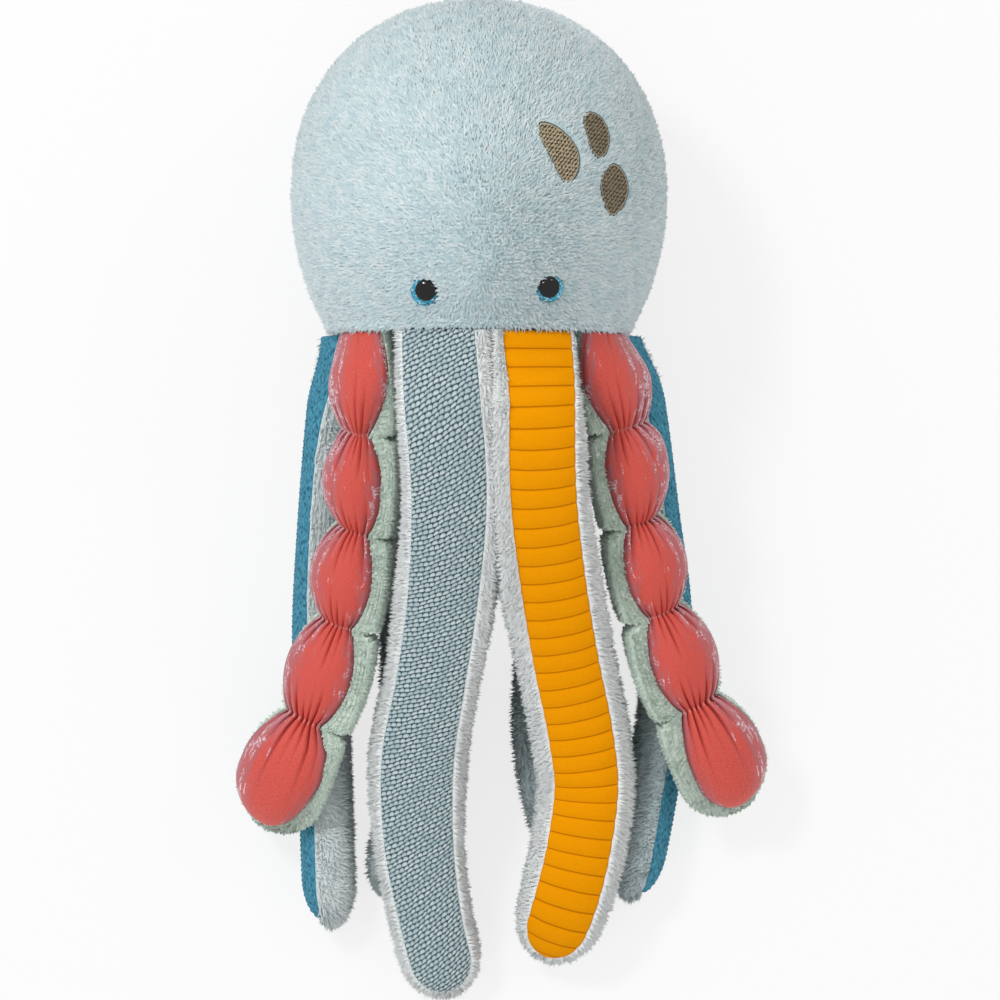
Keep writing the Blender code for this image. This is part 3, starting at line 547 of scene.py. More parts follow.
def patches(points, size, seed):                     # smooth noise, about -1 to 1
    rng = np.random.default_rng(seed)
    waves = unit(rng.normal(size=(7, 3))) * (2 * math.pi / size) * rng.uniform(0.6, 1.5, (7, 1))
    return np.sin(points @ waves.T + rng.uniform(0, 2 * math.pi, 7)).sum(axis=1) / 2.6


seamLines = (((-3.0, 0.0), (-3.5, 10.0), (-3.0, 16.0)),
             ((47.0, 19.0), (54.0, 30.0), (56.0, 40.0), (53.0, 52.0), (50.0, 58.0)))
# painted shade: darker is how much the pile is painted darker on a seam, where it parts
seamLook = dict(halfWidth=0.9, shorter=0.35, darker=0.4)


def seamNear(points):                                # 1 on a sewn line of the cover, 0 away from it
    plan = np.stack((points[:, 0], -points[:, 1]), axis=1)
    nearest = np.full(len(points), np.inf)
    for line in map(np.array, seamLines):
        for start, end in zip(line[:-1], line[1:]):
            share = np.clip((plan - start) @ (end - start) / np.sum((end - start) ** 2), 0.0, 1.0)
            away = plan - start - share[:, None] * (end - start)
            nearest = np.minimum(nearest, np.linalg.norm(away, axis=1))
    return np.exp(-(nearest / seamLook["halfWidth"]) ** 2) * (points[:, 2] > axisHeight)


pile = dict(whorl=0.3, leastLean=0.05, mostLean=0.95, floorGap=0.4, normalShake=0.05,
            mapWidth=0.012, rootHeight=0.01, skinHeight=0.04, tipHeight=0.99)


def growFur(name, points, faces, furry, comb, coat, material, nodes, blocked=None):
    # Each furry face of the skin is drawn out into one leaning strand
    rng = np.random.default_rng(coat["seed"])
    corners = points[faces]
    centre = corners.mean(axis=1)
    normal = unit(np.cross(corners[:, 1] - corners[:, 0], corners[:, 2] - corners[:, 0]))
    whole = np.linalg.norm(comb, axis=1)
    comb = comb - normal * np.sum(comb * normal, axis=1, keepdims=True)
    level = np.linalg.norm(comb, axis=1)
    flatness = np.clip(level / (pile["whorl"] * whole + 1e-9), 0.0, 1.0)  # 0: the pile stands
    strength = np.clip(level, 0.6, 1.0) * flatness
    comb = unit(comb)
    side = np.cross(normal, comb)
    count = len(faces)
    lean = coat["lean"] * strength + coat["leanSpread"] * rng.normal(size=count)
    lean = lean + coat["tuftLean"] * patches(centre, coat["tuft"], coat["seed"] + 1)
    wander = coat["swirl"] * patches(centre, coat["tuft"], coat["seed"] + 2)
    wander = wander + 0.5 * coat["swirl"] * patches(centre, 3.5 * coat["tuft"], coat["seed"] + 3)
    wander = wander + coat["stray"] * rng.normal(size=count)
    lean = np.clip(lean, pile["leastLean"], pile["mostLean"])
    way = unit(normal * (1 - lean)[:, None] + comb * lean[:, None] + side * wander[:, None])
    reach = coat["length"] * (1 + coat["lengthSpread"] * np.clip(rng.normal(size=count), -2, 2))
    seam = seamNear(centre) if blocked is not None else np.zeros(count)
    reach = reach * (1 - seamLook["shorter"] * seam)
    tips = centre + way * reach[:, None]
    if blocked is not None:
        furry = furry & ~blocked(centre, False)
        for _ in range(5):
            over = blocked(tips, True)
            tips[over] = centre[over] + (tips[over] - centre[over]) * 0.7
    tips[:, 2] = np.maximum(tips[:, 2], pile["floorGap"])
    # tip tone: partly random, partly painted light; the patches of paler tips stand in for combed
    # tips catching the light, and strands on a seam get painted shade
    shade = 0.5 + coat["patchShade"] * patches(centre, coat["patch"], coat["seed"] + 4)
    shade = shade - seamLook["darker"] * seam + coat["strandShade"] * rng.normal(size=count)
    shade = np.clip(shade, 0.03, 0.97)
    skinNormal = np.zeros_like(points)
    for corner in range(3):
        np.add.at(skinNormal, faces[:, corner], normal)
    skinNormal = unit(skinNormal)
    soft = coat["normalSoft"]
    shake = pile["normalShake"] * rng.normal(size=way.shape)
    tipNormal = unit(normal * soft + way * (1 - soft) + shake)
    grown, plain = faces[furry], faces[~furry]
    tipIndex = len(points) + np.arange(len(grown))
    strands = np.stack([np.stack([grown[:, i], grown[:, (i + 1) % 3], tipIndex], axis=1)
                        for i in range(3)], axis=1).reshape(-1, 3)
    allFaces = np.concatenate((strands, plain))
    width = pile["mapWidth"]
    shades = np.concatenate((np.repeat(shade[furry], 3), shade[~furry]))
    heights = np.concatenate((np.full(len(strands), pile["tipHeight"]),
                              np.full(len(plain), pile["skinHeight"])))
    low = np.full(len(allFaces), pile["rootHeight"])
    uv = np.stack([np.stack(pair, axis=1) for pair in (
        (shades - width, low), (shades + width, low), (shades, heights))], axis=1)
    allPoints = np.concatenate((points, tips[furry]))
    addPiece(name, allPoints, allFaces.ravel(), np.full(len(allFaces), 3), uv, uv, material,
             nodes, np.concatenate((skinNormal, tipNormal[furry])))


# Head
head = dict(radius=93.75, upper=97.5, lower=69.5, curve=115.0, roundness=2.15, hem=5.0,
            flat=5.0, skinDepth=2.0, faceGrain=(1.0, 2.0), backGrain=(1.5, 2.6), baseDepth=0.3,
            shake=0.3, floorGap=3.0, eyeSink=2.4, parting=(4.0, -148.0, 190.0), partingReach=70.0)
headCoat = dict(seed=11, length=3.6, lengthSpread=0.12, lean=0.56, leanSpread=0.07,
                tuft=4.5, tuftLean=0.05, swirl=0.12, stray=0.32, patch=11.0,
                patchShade=0.15, strandShade=0.34, normalSoft=0.85, fill=0.8)
axisHeight = head["radius"] - head["flat"]
baseY = -(head["upper"] + head["lower"])


def headRadius(below, inset=0.0):                    # of the turned head, below the crown
    below = np.asarray(below, float)
    upper = head["upper"] - inset
    share = np.clip((head["upper"] - below) / upper, 0.0, 1.0)
    top = (1 - share ** head["roundness"]) ** (1 / head["roundness"])
    drop = np.clip(below - head["upper"], 0.0, head["curve"] - inset - 1.0)
    bottom = np.sqrt(1 - (drop / (head["curve"] - inset)) ** 2)
    return (head["radius"] - inset) * np.where(below < head["upper"], top, bottom)


def headProfile(inset):                              # (radius, distance below the crown)
    angle = np.linspace(0, math.pi / 2, 400)
    power = 2 / head["roundness"]
    upper = head["upper"] - inset
    high = np.stack(((head["radius"] - inset) * np.sin(angle) ** power,
                     head["upper"] - upper * np.abs(np.cos(angle)) ** power), axis=1)
    end = head["upper"] + head["lower"] - head["baseDepth"]
    below = np.linspace(head["upper"], end - head["hem"], 200)[1:]
    low = np.stack((headRadius(below, inset), below), axis=1)
    turn = np.linspace(0, math.pi / 2, 40)[1:]
    hem = np.stack((low[-1, 0] - head["hem"] * (1 - np.cos(turn)),
                    end - head["hem"] + head["hem"] * np.sin(turn)), axis=1)
    return np.concatenate((high, low, hem))


def headPlace(x, below, inset=0.0):                  # a point on the upper side of the head
    radius = headRadius(below, inset)
    up = np.sqrt(np.maximum(radius ** 2 - np.asarray(x, float) ** 2, 0.0))
    return np.stack(np.broadcast_arrays(x, -np.asarray(below, float), axisHeight + up), axis=-1)


def headFrame(x, below):                             # place, side, down and normal there
    step = 0.5
    radius = headRadius(below)
    slope = (headRadius(below + step) - headRadius(below - step)) / (2 * step)
    up = math.sqrt(radius ** 2 - x ** 2)
    normal = unit(np.array((x / radius, slope, up / radius)))
    side = unit(np.cross((0.0, -1.0, 0.0), normal))
    return headPlace(x, below), -side, np.cross(normal, side), normal


def zipArcs(arcs):                                   # triangles between arcs of unlike counts
    faces = []
    for first, second in zip(arcs[:-1], arcs[1:]):
        i = j = 0
        lastI, lastJ = len(first) - 1, len(second) - 1
        while i < lastI or j < lastJ:
            ahead = (i + 1) * max(lastJ, 1) <= (j + 1) * max(lastI, 1)
            if j == lastJ or (i < lastI and ahead):
                faces.append((first[i], first[i + 1], second[j]))
                i += 1
            else:
                faces.append((first[i], second[j + 1], second[j]))
                j += 1
    return faces


def headHalf(grain, start, seed):
    # Half of the turned skin, from the crown to the base, closed by a flat sheet inside
    rng = np.random.default_rng(seed)
    profile = headProfile(head["skinDepth"])
    lengths = np.concatenate(([0.0], np.cumsum(np.hypot(*np.diff(profile, axis=0).T))))
    aroundGrain, downGrain = grain
    shake = head["shake"]
    marks = np.arange(0.0, lengths[-1], downGrain)
    radii = np.interp(marks, lengths, profile[:, 0])
    belows = np.interp(marks, lengths, profile[:, 1])
    radii = np.concatenate((radii, radii[-1] * np.array((0.9, 0.0))))
    belows = np.concatenate((belows, np.full(2, profile[-1, 1])))
    points, arcs = [], []
    for row, (radius, below) in enumerate(zip(radii, belows)):
        steps = max(0 if radius < 0.2 else 2, round(math.pi * radius / aroundGrain))
        angle = start + math.pi * np.linspace(0, 1, steps + 1) if steps else np.array((start,))
        spread = np.zeros_like(angle)
        shift = np.zeros_like(angle)
        if steps and row < len(radii) - 3:
            spread[1:-1] = rng.uniform(-shake, shake, steps - 1) * aroundGrain / radius
            shift[1:-1] = rng.uniform(-shake, shake, steps - 1) * downGrain
        angle = angle + spread
        arcs.append(len(points) + np.arange(len(angle)))
        lower = np.clip(below + shift, profile[0, 1], profile[-1, 1])
        wide = radius if row > len(radii) - 6 else headRadius(lower, head["skinDepth"])
        wide = np.where(shift == 0.0, radius, wide)
        points.extend(np.stack((wide * np.sin(angle), -lower,
                                axisHeight + wide * np.cos(angle)), axis=1))
    faces = zipArcs(arcs)
    middle = len(points)
    points.append(np.array((0.0, -head["upper"], axisHeight)))
    for first, second in zip(arcs[:-1], arcs[1:]):
        faces.append((middle, first[0], second[0]))
        faces.append((middle, second[-1], first[-1]))
    points, faces = np.array(points), np.array(faces)
    faces = outward(points, faces)
    points[:, 2] = np.maximum(points[:, 2], head["floorGap"])
    covered = np.zeros(len(faces), bool)
    covered[-2 * (len(arcs) - 1):] = True
    return points, faces, covered


def outward(points, faces):                          # turns every face if the volume is negative
    a, b, c = (points[faces[:, i]] - points.mean(axis=0) for i in range(3))
    volume = np.sum(a * np.cross(b, c))
    return faces[:, ::-1] if volume < 0 else faces


spotOutlines = {
    "large": ((28.5, 69.3), (31.4, 67.3), (37.8, 69.3), (43.7, 74.0), (47.8, 79.8), (49.2, 85.7),
              (48.4, 91.5), (46.1, 95.7), (43.1, 97.2), (40.5, 95.7), (37.0, 89.2), (32.9, 81.1),
              (29.5, 74.6)),
    "upper": ((51.5, 62.5), (54.5, 61.3), (59.2, 63.0), (62.1, 67.2), (63.9, 73.1), (63.3, 78.9),
              (61.0, 83.6), (58.0, 84.2), (54.5, 80.1), (52.5, 73.1), (51.2, 67.2)),
    "lower": ((61.7, 89.1), (65.2, 86.2), (69.3, 87.9), (72.3, 92.6), (73.2, 98.5), (71.7, 105.1),
              (68.2, 110.4), (64.6, 112.1), (62.3, 109.2), (60.5, 103.9), (59.3, 98.5),
              (59.9, 93.2)),
}
eyePlaces = {"left": (-26.3, 149.8), "right": (35.0, 148.2)}
irisRadius = 7.4
faceTrim = dict(spotTips=0.90, eyeTips=1.6, eyeRoots=0.5)      # fur may lie over an edge by this


def finerLoop(points, rounds=3):                     # a closed loop through the points, smoother
    for _ in range(rounds):
        here, after = points, np.roll(points, -1, axis=0)
        before, nextOne = np.roll(points, 1, axis=0), np.roll(points, -2, axis=0)
        middle = (9 * (here + after) - before - nextOne) / 16
        points = np.stack((here, middle), axis=1).reshape(-1, 2)
    return points


def inLoop(points, loop):                            # even-odd test in the plane
    x, y = points[:, 0], points[:, 1]
    inside = np.zeros(len(points), bool)
    for (x1, y1), (x2, y2) in zip(loop, np.roll(loop, -1, axis=0)):
        crosses = (y1 > y) != (y2 > y)
        edge = (x2 - x1) * (y - y1) / (y2 - y1 if y1 != y2 else 1e-9) + x1
        inside ^= crosses & (x < edge)
    return inside


spotLoops = {name: finerLoop(np.array(points)) for name, points in spotOutlines.items()}


def onFace(points, tips):                            # over a spot or an eye, where no fur lies
    upper = points[:, 2] > axisHeight
    plan = np.stack((points[:, 0], -points[:, 1]), axis=1)
    over = np.zeros(len(points), bool)
    for loop in spotLoops.values():
        middle = loop.mean(axis=0)
        over |= inLoop(plan, middle + (loop - middle) * (faceTrim["spotTips"] if tips else 1.0))
    for x, below in eyePlaces.values():
        place, _, _, normal = headFrame(x, below)
        away = points - place
        flat = away - normal * (away @ normal)[:, None]
        trim = faceTrim["eyeTips" if tips else "eyeRoots"]
        over |= np.linalg.norm(flat, axis=1) < irisRadius - trim
    return over & upper


def makeHead():
    halves = (("head_face", head["faceGrain"], -math.pi / 2, 5, ["head_plush"]),
              ("head_back", head["backGrain"], math.pi / 2, 6, []))
    for name, grain, start, seed, nodes in halves:
        points, faces, covered = headHalf(grain, start, seed)
        centre = points[faces].mean(axis=1)
        base = -centre[:, 1] > head["upper"] + head["lower"] - 1.2
        comb = (centre - head["parting"]) / head["partingReach"]     # away from the face's middle
        coat = dict(headCoat, seed=headCoat["seed"] + seed)
        growFur(name, points, faces, ~(covered | base), comb, coat, finish["headFur"],
                nodes, onFace)


makeHead()
print("head grown")


# Spots: raised satin stitch with a rounded border; heights from the head's outer surface
spotShape = dict(rings=16, field=0.90, edge=-0.9, dome=0.35, border=(-0.5, -0.55, -1.0))


def makeSpots():
    for name, loop in spotLoops.items():
        middle = loop.mean(axis=0)
        count = len(loop)
        field = np.linspace(0.0, spotShape["field"], spotShape["rings"])[1:]
        shares = np.concatenate((field, (0.95, 1.0, 1.0)))
        rise = np.concatenate((spotShape["edge"] + spotShape["dome"] * (1 - field[:-1] ** 2),
                               spotShape["border"], (-head["skinDepth"],)))
        points = [headPlace(middle[0], middle[1], -rise[0])]
        plan = [middle]
        for share, height in zip(shares, rise):
            ring = middle + (loop - middle) * share
            plan.extend(ring)
            points.extend(headPlace(ring[:, 0], ring[:, 1], -height))
        corners, sizes = [], []
        border = [0] * count
        for i in range(count):
            corners.extend((0, 1 + (i + 1) % count, 1 + i))
            sizes.append(3)
        for row in range(len(shares) - 1):
            border.extend([max(0, min(2, row + 5 - len(shares)))] * count)
            low, high = 1 + row * count, 1 + (row + 1) * count
            for i in range(count):
                j = (i + 1) % count
                corners.extend((low + i, low + j, high + j, high + i))
                sizes.append(4)
        last = 1 + (len(shares) - 1) * count
        corners.extend(range(last, last + count))
        sizes.append(count)
        plan = np.array(plan)
        surface = plan[corners] / 100.0
        surface[:, 0] += 10.0 * np.repeat(border + [2], sizes)
        low, high = plan.min(axis=0), plan.max(axis=0)
        bake = 0.05 + 0.9 * (plan[corners] - low) / (high - low)
        addPiece("spot_" + name + "_stitching", np.array(points), corners, sizes, surface, bake,
                 finish["stitching"], ["spot_" + name])


makeSpots()


# Eyes: a glossy dome on a shank over a glitter disc
eyeShape = dict(radius=6.8, rise=4.2, flange=1.0, irisThickness=0.7, gap=0.3, shank=2.0,
                shankLength=11.0, sides=64, hole=2.4, bevel=0.2, pupilSide=1.7)


def turned(profile, sides):
    # A closed turned body: points, corners, sizes
    angle = np.linspace(0, 2 * math.pi, sides, endpoint=False)
    points = np.concatenate([np.stack((r * np.cos(angle), r * np.sin(angle), np.full(sides, z)),
                                      axis=1) for r, z in profile])
    corners, sizes = list(range(sides)), [sides]
    for row in range(len(profile) - 1):
        low, high = row * sides, (row + 1) * sides
        for i in range(sides):
            j = (i + 1) % sides
            corners.extend((high + i, high + j, low + j, low + i))
            sizes.append(4)
    last = (len(profile) - 1) * sides
    corners.extend(reversed(range(last, last + sides)))
    sizes.append(sides)
    return points, np.array(corners), sizes


def makeEyes():
    foot = eyeShape["irisThickness"] + eyeShape["gap"]
    for side, (x, below) in eyePlaces.items():
        place, across, down, normal = headFrame(x, below)
        turnToWorld = np.stack((across, -down, normal))
        seat = place - normal * head["eyeSink"]
        mirror = 1.0 if side == "left" else -1.0
        angles = np.radians(np.linspace(4, 84, 16))
        dome = [(eyeShape["radius"] * math.sin(a), foot + eyeShape["flange"]
                 + (eyeShape["rise"] - eyeShape["flange"]) * math.cos(a)) for a in angles]
        dome += [(eyeShape["radius"], foot), (eyeShape["shank"], foot),
                 (eyeShape["shank"], foot - eyeShape["shankLength"])]
        points, corners, sizes = turned(dome, eyeShape["sides"])
        flat = points[:, :2]
        look = dict(eye, pupilSide=mirror * eyeShape["pupilSide"])
        addPiece("eye_" + side + "_gloss", seat + points @ turnToWorld, corners, sizes,
                 flat[corners] / 10.0, 0.5 + flat[corners] / 14.0, eyePaint(look),
                 ["eye_" + side + "_dome"])
        top, bevel = eyeShape["irisThickness"], eyeShape["bevel"]
        disc = [(eyeShape["hole"], top), (irisRadius - bevel, top), (irisRadius, top - bevel),
                (irisRadius, 0.0), (eyeShape["hole"], 0.0)]
        points, corners, sizes = turned(disc, eyeShape["sides"])
        flat = points[:, :2]
        addPiece("eye_" + side + "_glitter", seat + points @ turnToWorld, corners, sizes,
                 flat[corners] / 10.0, 0.5 + flat[corners] / 15.0, eyePaint(look),
                 ["eye_" + side + "_iris"])
        washer = frame["nodes"]["eye_" + side + "_washer"]
        washer.data.materials.clear()
        washer.data.materials.append(finish["washer"])


makeEyes()
print("spots and eyes made")


# Arms: stations of x, distance below the base, height, width, panel width, facing angle
lie = dict(onFloor=11.5, onEdge=18.0, overRear=38.0, overFlank=54.0)
armTable = {
    "front_left": dict(ring=-16.0, kind="woven", swell={"right": (
        (0, 3.6), (40, 3.3), (95, 2.9), (120, 2.2), (165, 0.8), (190, 0.0))}, stations=(
        (-17.0, 33, 149, 44, 37.0, -4), (-14.5, 82, 130, 44, 36.5, 0),
        (-18.0, 132, 98, 47, 34.5, 0), (-24.0, 173, 75, 45.5, 34.4, 0),
        (-31.0, 214, lie["overRear"] + 16, 48.5, 36.4, 0),
        (-31.0, 256, lie["overRear"] + 1, 44.6, 34.9, 0),
        (-25.0, 298, 26, 41, 31.5, 0), (-15.0, 339, 11, 40, 31.0, 0))),
    "front_right": dict(ring=25.4, kind="ribbed", flare=((0, 4.5), (33, 0.0)), swell={"left": (
        (0, 3.6), (40, 3.3), (85, 2.9), (122, 2.6), (158, 0.0)), "right": (
        (0, -5.5), (20, -4.5), (45, -1.0), (60, 0.0))}, stations=(
        (30.0, 43, 146, 43.5, 32.0, 6), (31.5, 82, 130, 44, 32.0, 2),
        (36.5, 122, 106, 47, 32.0, 0), (43.4, 163, 80, 48, 32.2, 0),
        (51.6, 204, lie["overRear"] + 20, 48.5, 32.2, 0),
        (54.2, 225, lie["overRear"] + 11, 48, 32.0, 0),
        (51.3, 256, lie["overRear"] + 4, 47.5, 32.0, 0),
        (44.0, 288, 33, 45, 31.5, 0), (33.0, 320, 14, 38, 27.0, 0))),
    "side_left": dict(ring=-60.0, kind="puffed", outer=-1, outerMore=(
        (15, 0.5), (33, 2.5), (47, 3.0), (58, 0.5), (73, 2.0), (87, 3.0), (98, 0.0)), innerMore=(
        (30, 0.0), (40, -2.5), (48, -4.5), (54, -3.5), (68, -1.5), (90, 0.0), (199, 0.0),
        (208, 4.5), (222, 4.0), (242, 0.0)), stations=(
        (-57.7, 32, 117, 43, 40, -43), (-58.2, 72, 103, 44, 42, -40),
        (-65.0, 119, 86, 46, 43, -35), (-77.4, 170, lie["overFlank"] + 15, 49, 44, -30),
        (-96.5, 215, lie["overFlank"] + 4, 50, 45, -15), (-112.0, 251, 26, 50, 45, -8))),
    "side_right": dict(ring=66.0, kind="puffed", outer=1, outerMore=(
        (0, 9.0), (12, 7.0), (30, 5.5), (56, 5.5), (70, 2.0), (90, 0.5), (120, 0.0)), innerMore=(
        (0, 1.5), (30, 2.0), (45, -2.0), (60, 0.0), (100, 0.0)), stations=(
        (68.0, 32, 106, 43, 40, 42), (75.5, 72, 96, 44, 42, 38),
        (85.6, 119, 82, 46, 43, 34), (99.5, 163, lie["overFlank"] + 14, 49, 44, 30),
        (118.0, 205, lie["overFlank"] + 1, 50, 45, 14), (135.0, 242, 26, 50, 45, 8))),
    "flank_left": dict(ring=-105.0, kind="dimpled", rootShift=-6.0, rootFacing=-72.0, stations=(
        (-71.5, 20, 64, 42, 32, -72), (-75.0, 45, 55, 41, 32, -80),
        (-80.0, 97, 38, 40, 32, -82), (-83.0, 154, 24, 40, 32, -78),
        (-81.0, 205, lie["onEdge"], 38, 31, -78), (-79.0, 263, lie["onEdge"], 36, 29, -78),
        (-77.7, 303, 15, 33, 26, -78))),
    "flank_right": dict(ring=108.0, kind="dimpled", fur="shadedArmFur", rootShift=9.0,
                        rootFacing=72.0, stations=(
        (77.5, 20, 59, 42, 32, 70), (82.5, 45, 50, 41, 32, 78),
        (90.0, 97, 33, 40, 32, 81), (95.0, 132, 23, 40, 32, 78),
        (96.0, 190, lie["onEdge"], 40, 32, 78), (90.0, 227, lie["onEdge"], 38, 31, 78),
        (83.0, 265, lie["onEdge"], 34, 27, 78), (78.0, 289, 15, 30, 23, 78))),
    "rear_left": dict(ring=-152.0, kind="ribbed", fur="shadedArmFur", stations=(
        (-27.0, 50, 18, 42, 32, -166), (-29.0, 113, lie["onFloor"], 45, 34, -176),
        (-28.0, 165, lie["onFloor"], 46, 34, -180), (-29.5, 216, lie["onFloor"], 44, 33, -180),
        (-37.0, 258, lie["onFloor"], 37, 28, -180), (-51.0, 286, lie["onFloor"], 30, 22, -180))),
    "rear_right": dict(ring=160.0, kind="woven", fur="shadedArmFur", stations=(
        (24.0, 50, 18, 42, 32, 170), (33.0, 113, lie["onFloor"], 45, 34, 178),
        (41.0, 165, lie["onFloor"], 46, 34, 180), (40.0, 200, lie["onFloor"], 46, 34, 180),
        (42.0, 226, lie["onFloor"], 44, 33, 180), (45.0, 248, lie["onFloor"], 40, 30, 180),
        (46.0, 270, lie["onFloor"], 34, 26, 180))),
}
limb = dict(seamInset=8.7, touch=0.3, rootDepth=14.0, rootWidth=43.4, fillLength=38.0,
            tipRound=25.0, panelEnd=0.8, frontDepth=26.0, rearDepth=21.0, flankDepth=25.0,
            sideBack=15.0, puffRise=14.0, dome=3.4, thickness=2.6, recess=3.6,
            gathers=(0.19, 0.376, 0.56, 0.76), pullOuter=0.42, pullInner=0.10,
            panelPull=0.46, panelInner=0.70, firstPuff=-0.09, outerTrim=0.5,
            foldDepth=8.0, foldHalf=3.2, frontGrain=(1.15, 1.8), restGrain=3.0, rim=0.4,
            shake=0.28, floorGap=1.0, bridge=0.35, shoulder=0.55, fullSwell=2.5)
baseRadius = head["radius"] * math.sqrt(1 - (head["lower"] / head["curve"]) ** 2)
ringRadius = baseRadius - limb["seamInset"]
armCoats = {
    "woven": dict(seed=31, length=3.8, lengthSpread=0.18, lean=0.42, leanSpread=0.09, tuft=9.0,
                  tuftLean=0.08, swirl=0.22, stray=0.20, patch=25.0, patchShade=0.10,
                  strandShade=0.14, normalSoft=0.9, combDown=0.35, fill=0.7, skinDepth=1.7,
                  material="armFur", slot="fur"),
    "puffed": dict(seed=32, length=2.0, lengthSpread=0.2, lean=0.45, leanSpread=0.10, tuft=14.0,
                   tuftLean=0.08, swirl=0.20, stray=0.30, patch=22.0, patchShade=0.16,
                   strandShade=0.30, normalSoft=0.85, combDown=0.3, fill=0.8, skinDepth=0.7,
                   material="velour", slot="velour"),
}
armCoats["ribbed"] = dict(armCoats["woven"], seed=33)
armCoats["dimpled"] = dict(armCoats["woven"], seed=34, length=4.2, lean=0.5, material="flankFur")
denseRanges = {"front": ((0.0, 0.3), (0.7, 1.0)), "rear": ((0.15, 0.85),),
               "flank_left": ((0.5, 1.0),), "flank_right": ((0.0, 0.5),),
               "side_left": ((0.55, 1.0),), "side_right": ((0.0, 0.45),)}


def smoothTrack(knots, values, places):
    # A smooth curve through values at knots, read at places
    slopes = np.gradient(values, knots, axis=0)
    index = np.clip(np.searchsorted(knots, places, side="right") - 1, 0, len(knots) - 2)
    span = knots[index + 1] - knots[index]
    t = ((places - knots[index]) / span)[:, None]
    span = span[:, None]
    start, end = values[index], values[index + 1]
    rise, fall = slopes[index] * span, slopes[index + 1] * span
    return ((2 * t ** 3 - 3 * t ** 2 + 1) * start + (t ** 3 - 2 * t ** 2 + t) * rise
            + (3 * t ** 2 - 2 * t ** 3) * end + (t ** 3 - t ** 2) * fall)


def armRoute(arm):
    angle = math.radians(arm["ring"])
    first = arm["stations"][0]
    rows = [(ringRadius * math.sin(angle) + arm.get("rootShift", 0.0), baseY - limb["touch"],
             axisHeight + ringRadius * math.cos(angle), limb["rootWidth"],
             limb["rootWidth"] - (first[3] - first[4]), arm.get("rootFacing", arm["ring"]))]
    for x, below, height, width, panel, facing in arm["stations"]:
        rows.append((x, baseY - below, height, width, panel, facing))
    rows = np.array(rows, float)
    steps = np.hypot(np.diff(rows[:, 0]), np.diff(rows[:, 1]))
    return np.concatenate(([0.0], np.cumsum(steps))), rows


def readTable(table, places):                        # (place, value) pairs, read in between
    return np.interp(places, *zip(*table))


def filling(places):                                 # 0 at the seam, 1 at full thickness
    share = np.clip(places / limb["fillLength"], 0.0, 1.0)
    return share * share * (3 - 2 * share)


def armFrames(arm, places):
    knots, rows = armRoute(arm)
    track = smoothTrack(knots, rows, places)
    ahead = smoothTrack(knots, rows, np.minimum(places + 1.0, knots[-1]))[:, :3]
    behind = smoothTrack(knots, rows, np.maximum(places - 1.0, 0.0))[:, :3]
    free = filling(places / 1.5)[:, None]
    along = unit(unit(ahead - behind) * free + np.array((0.0, -1.0, 0.0)) * (1 - free))
    facing = np.radians(track[:, 5])
    out = np.stack((np.sin(facing), np.zeros_like(facing), np.cos(facing)), axis=1)
    out = unit(out - along * np.sum(out * along, axis=1, keepdims=True))
    return track, np.cross(out, along), out, along


def rounding(places, length, inset=0.0, part=1.0):   # 1 along the arm, 0 at its rounded end
    share = (places - (length - limb["tipRound"])) / (limb["tipRound"] * part - inset)
    return np.sqrt(1 - np.clip(share, 0.0, 1.0) ** 2)


def puffFullness(places, length):                    # 0 at each gather, 1 at a puff's middle
    ends = (limb["firstPuff"],) + limb["gathers"] + (1.0,)
    share = places / length
    full = np.ones_like(share)
    for low, high in zip(ends[:-1], ends[1:]):
        inside = (share >= low) & (share <= high)
        local = (share - low) / (high - low)
        if high == 1.0:
            local = np.minimum(local, 0.5)
        full[inside] = np.clip(np.sin(math.pi * local[inside]), 0.0, 1.0) ** 0.7
    return full


def puffPlace(places, length):                       # which puff, and how far along it
    ends = (limb["firstPuff"],) + limb["gathers"] + (1.0,)
    place = np.interp(places / length, ends, np.arange(len(ends)))
    last = len(ends) - 2
    return np.where(place > last, last + 0.5 * np.sin(math.pi / 2 * (place - last)), place)


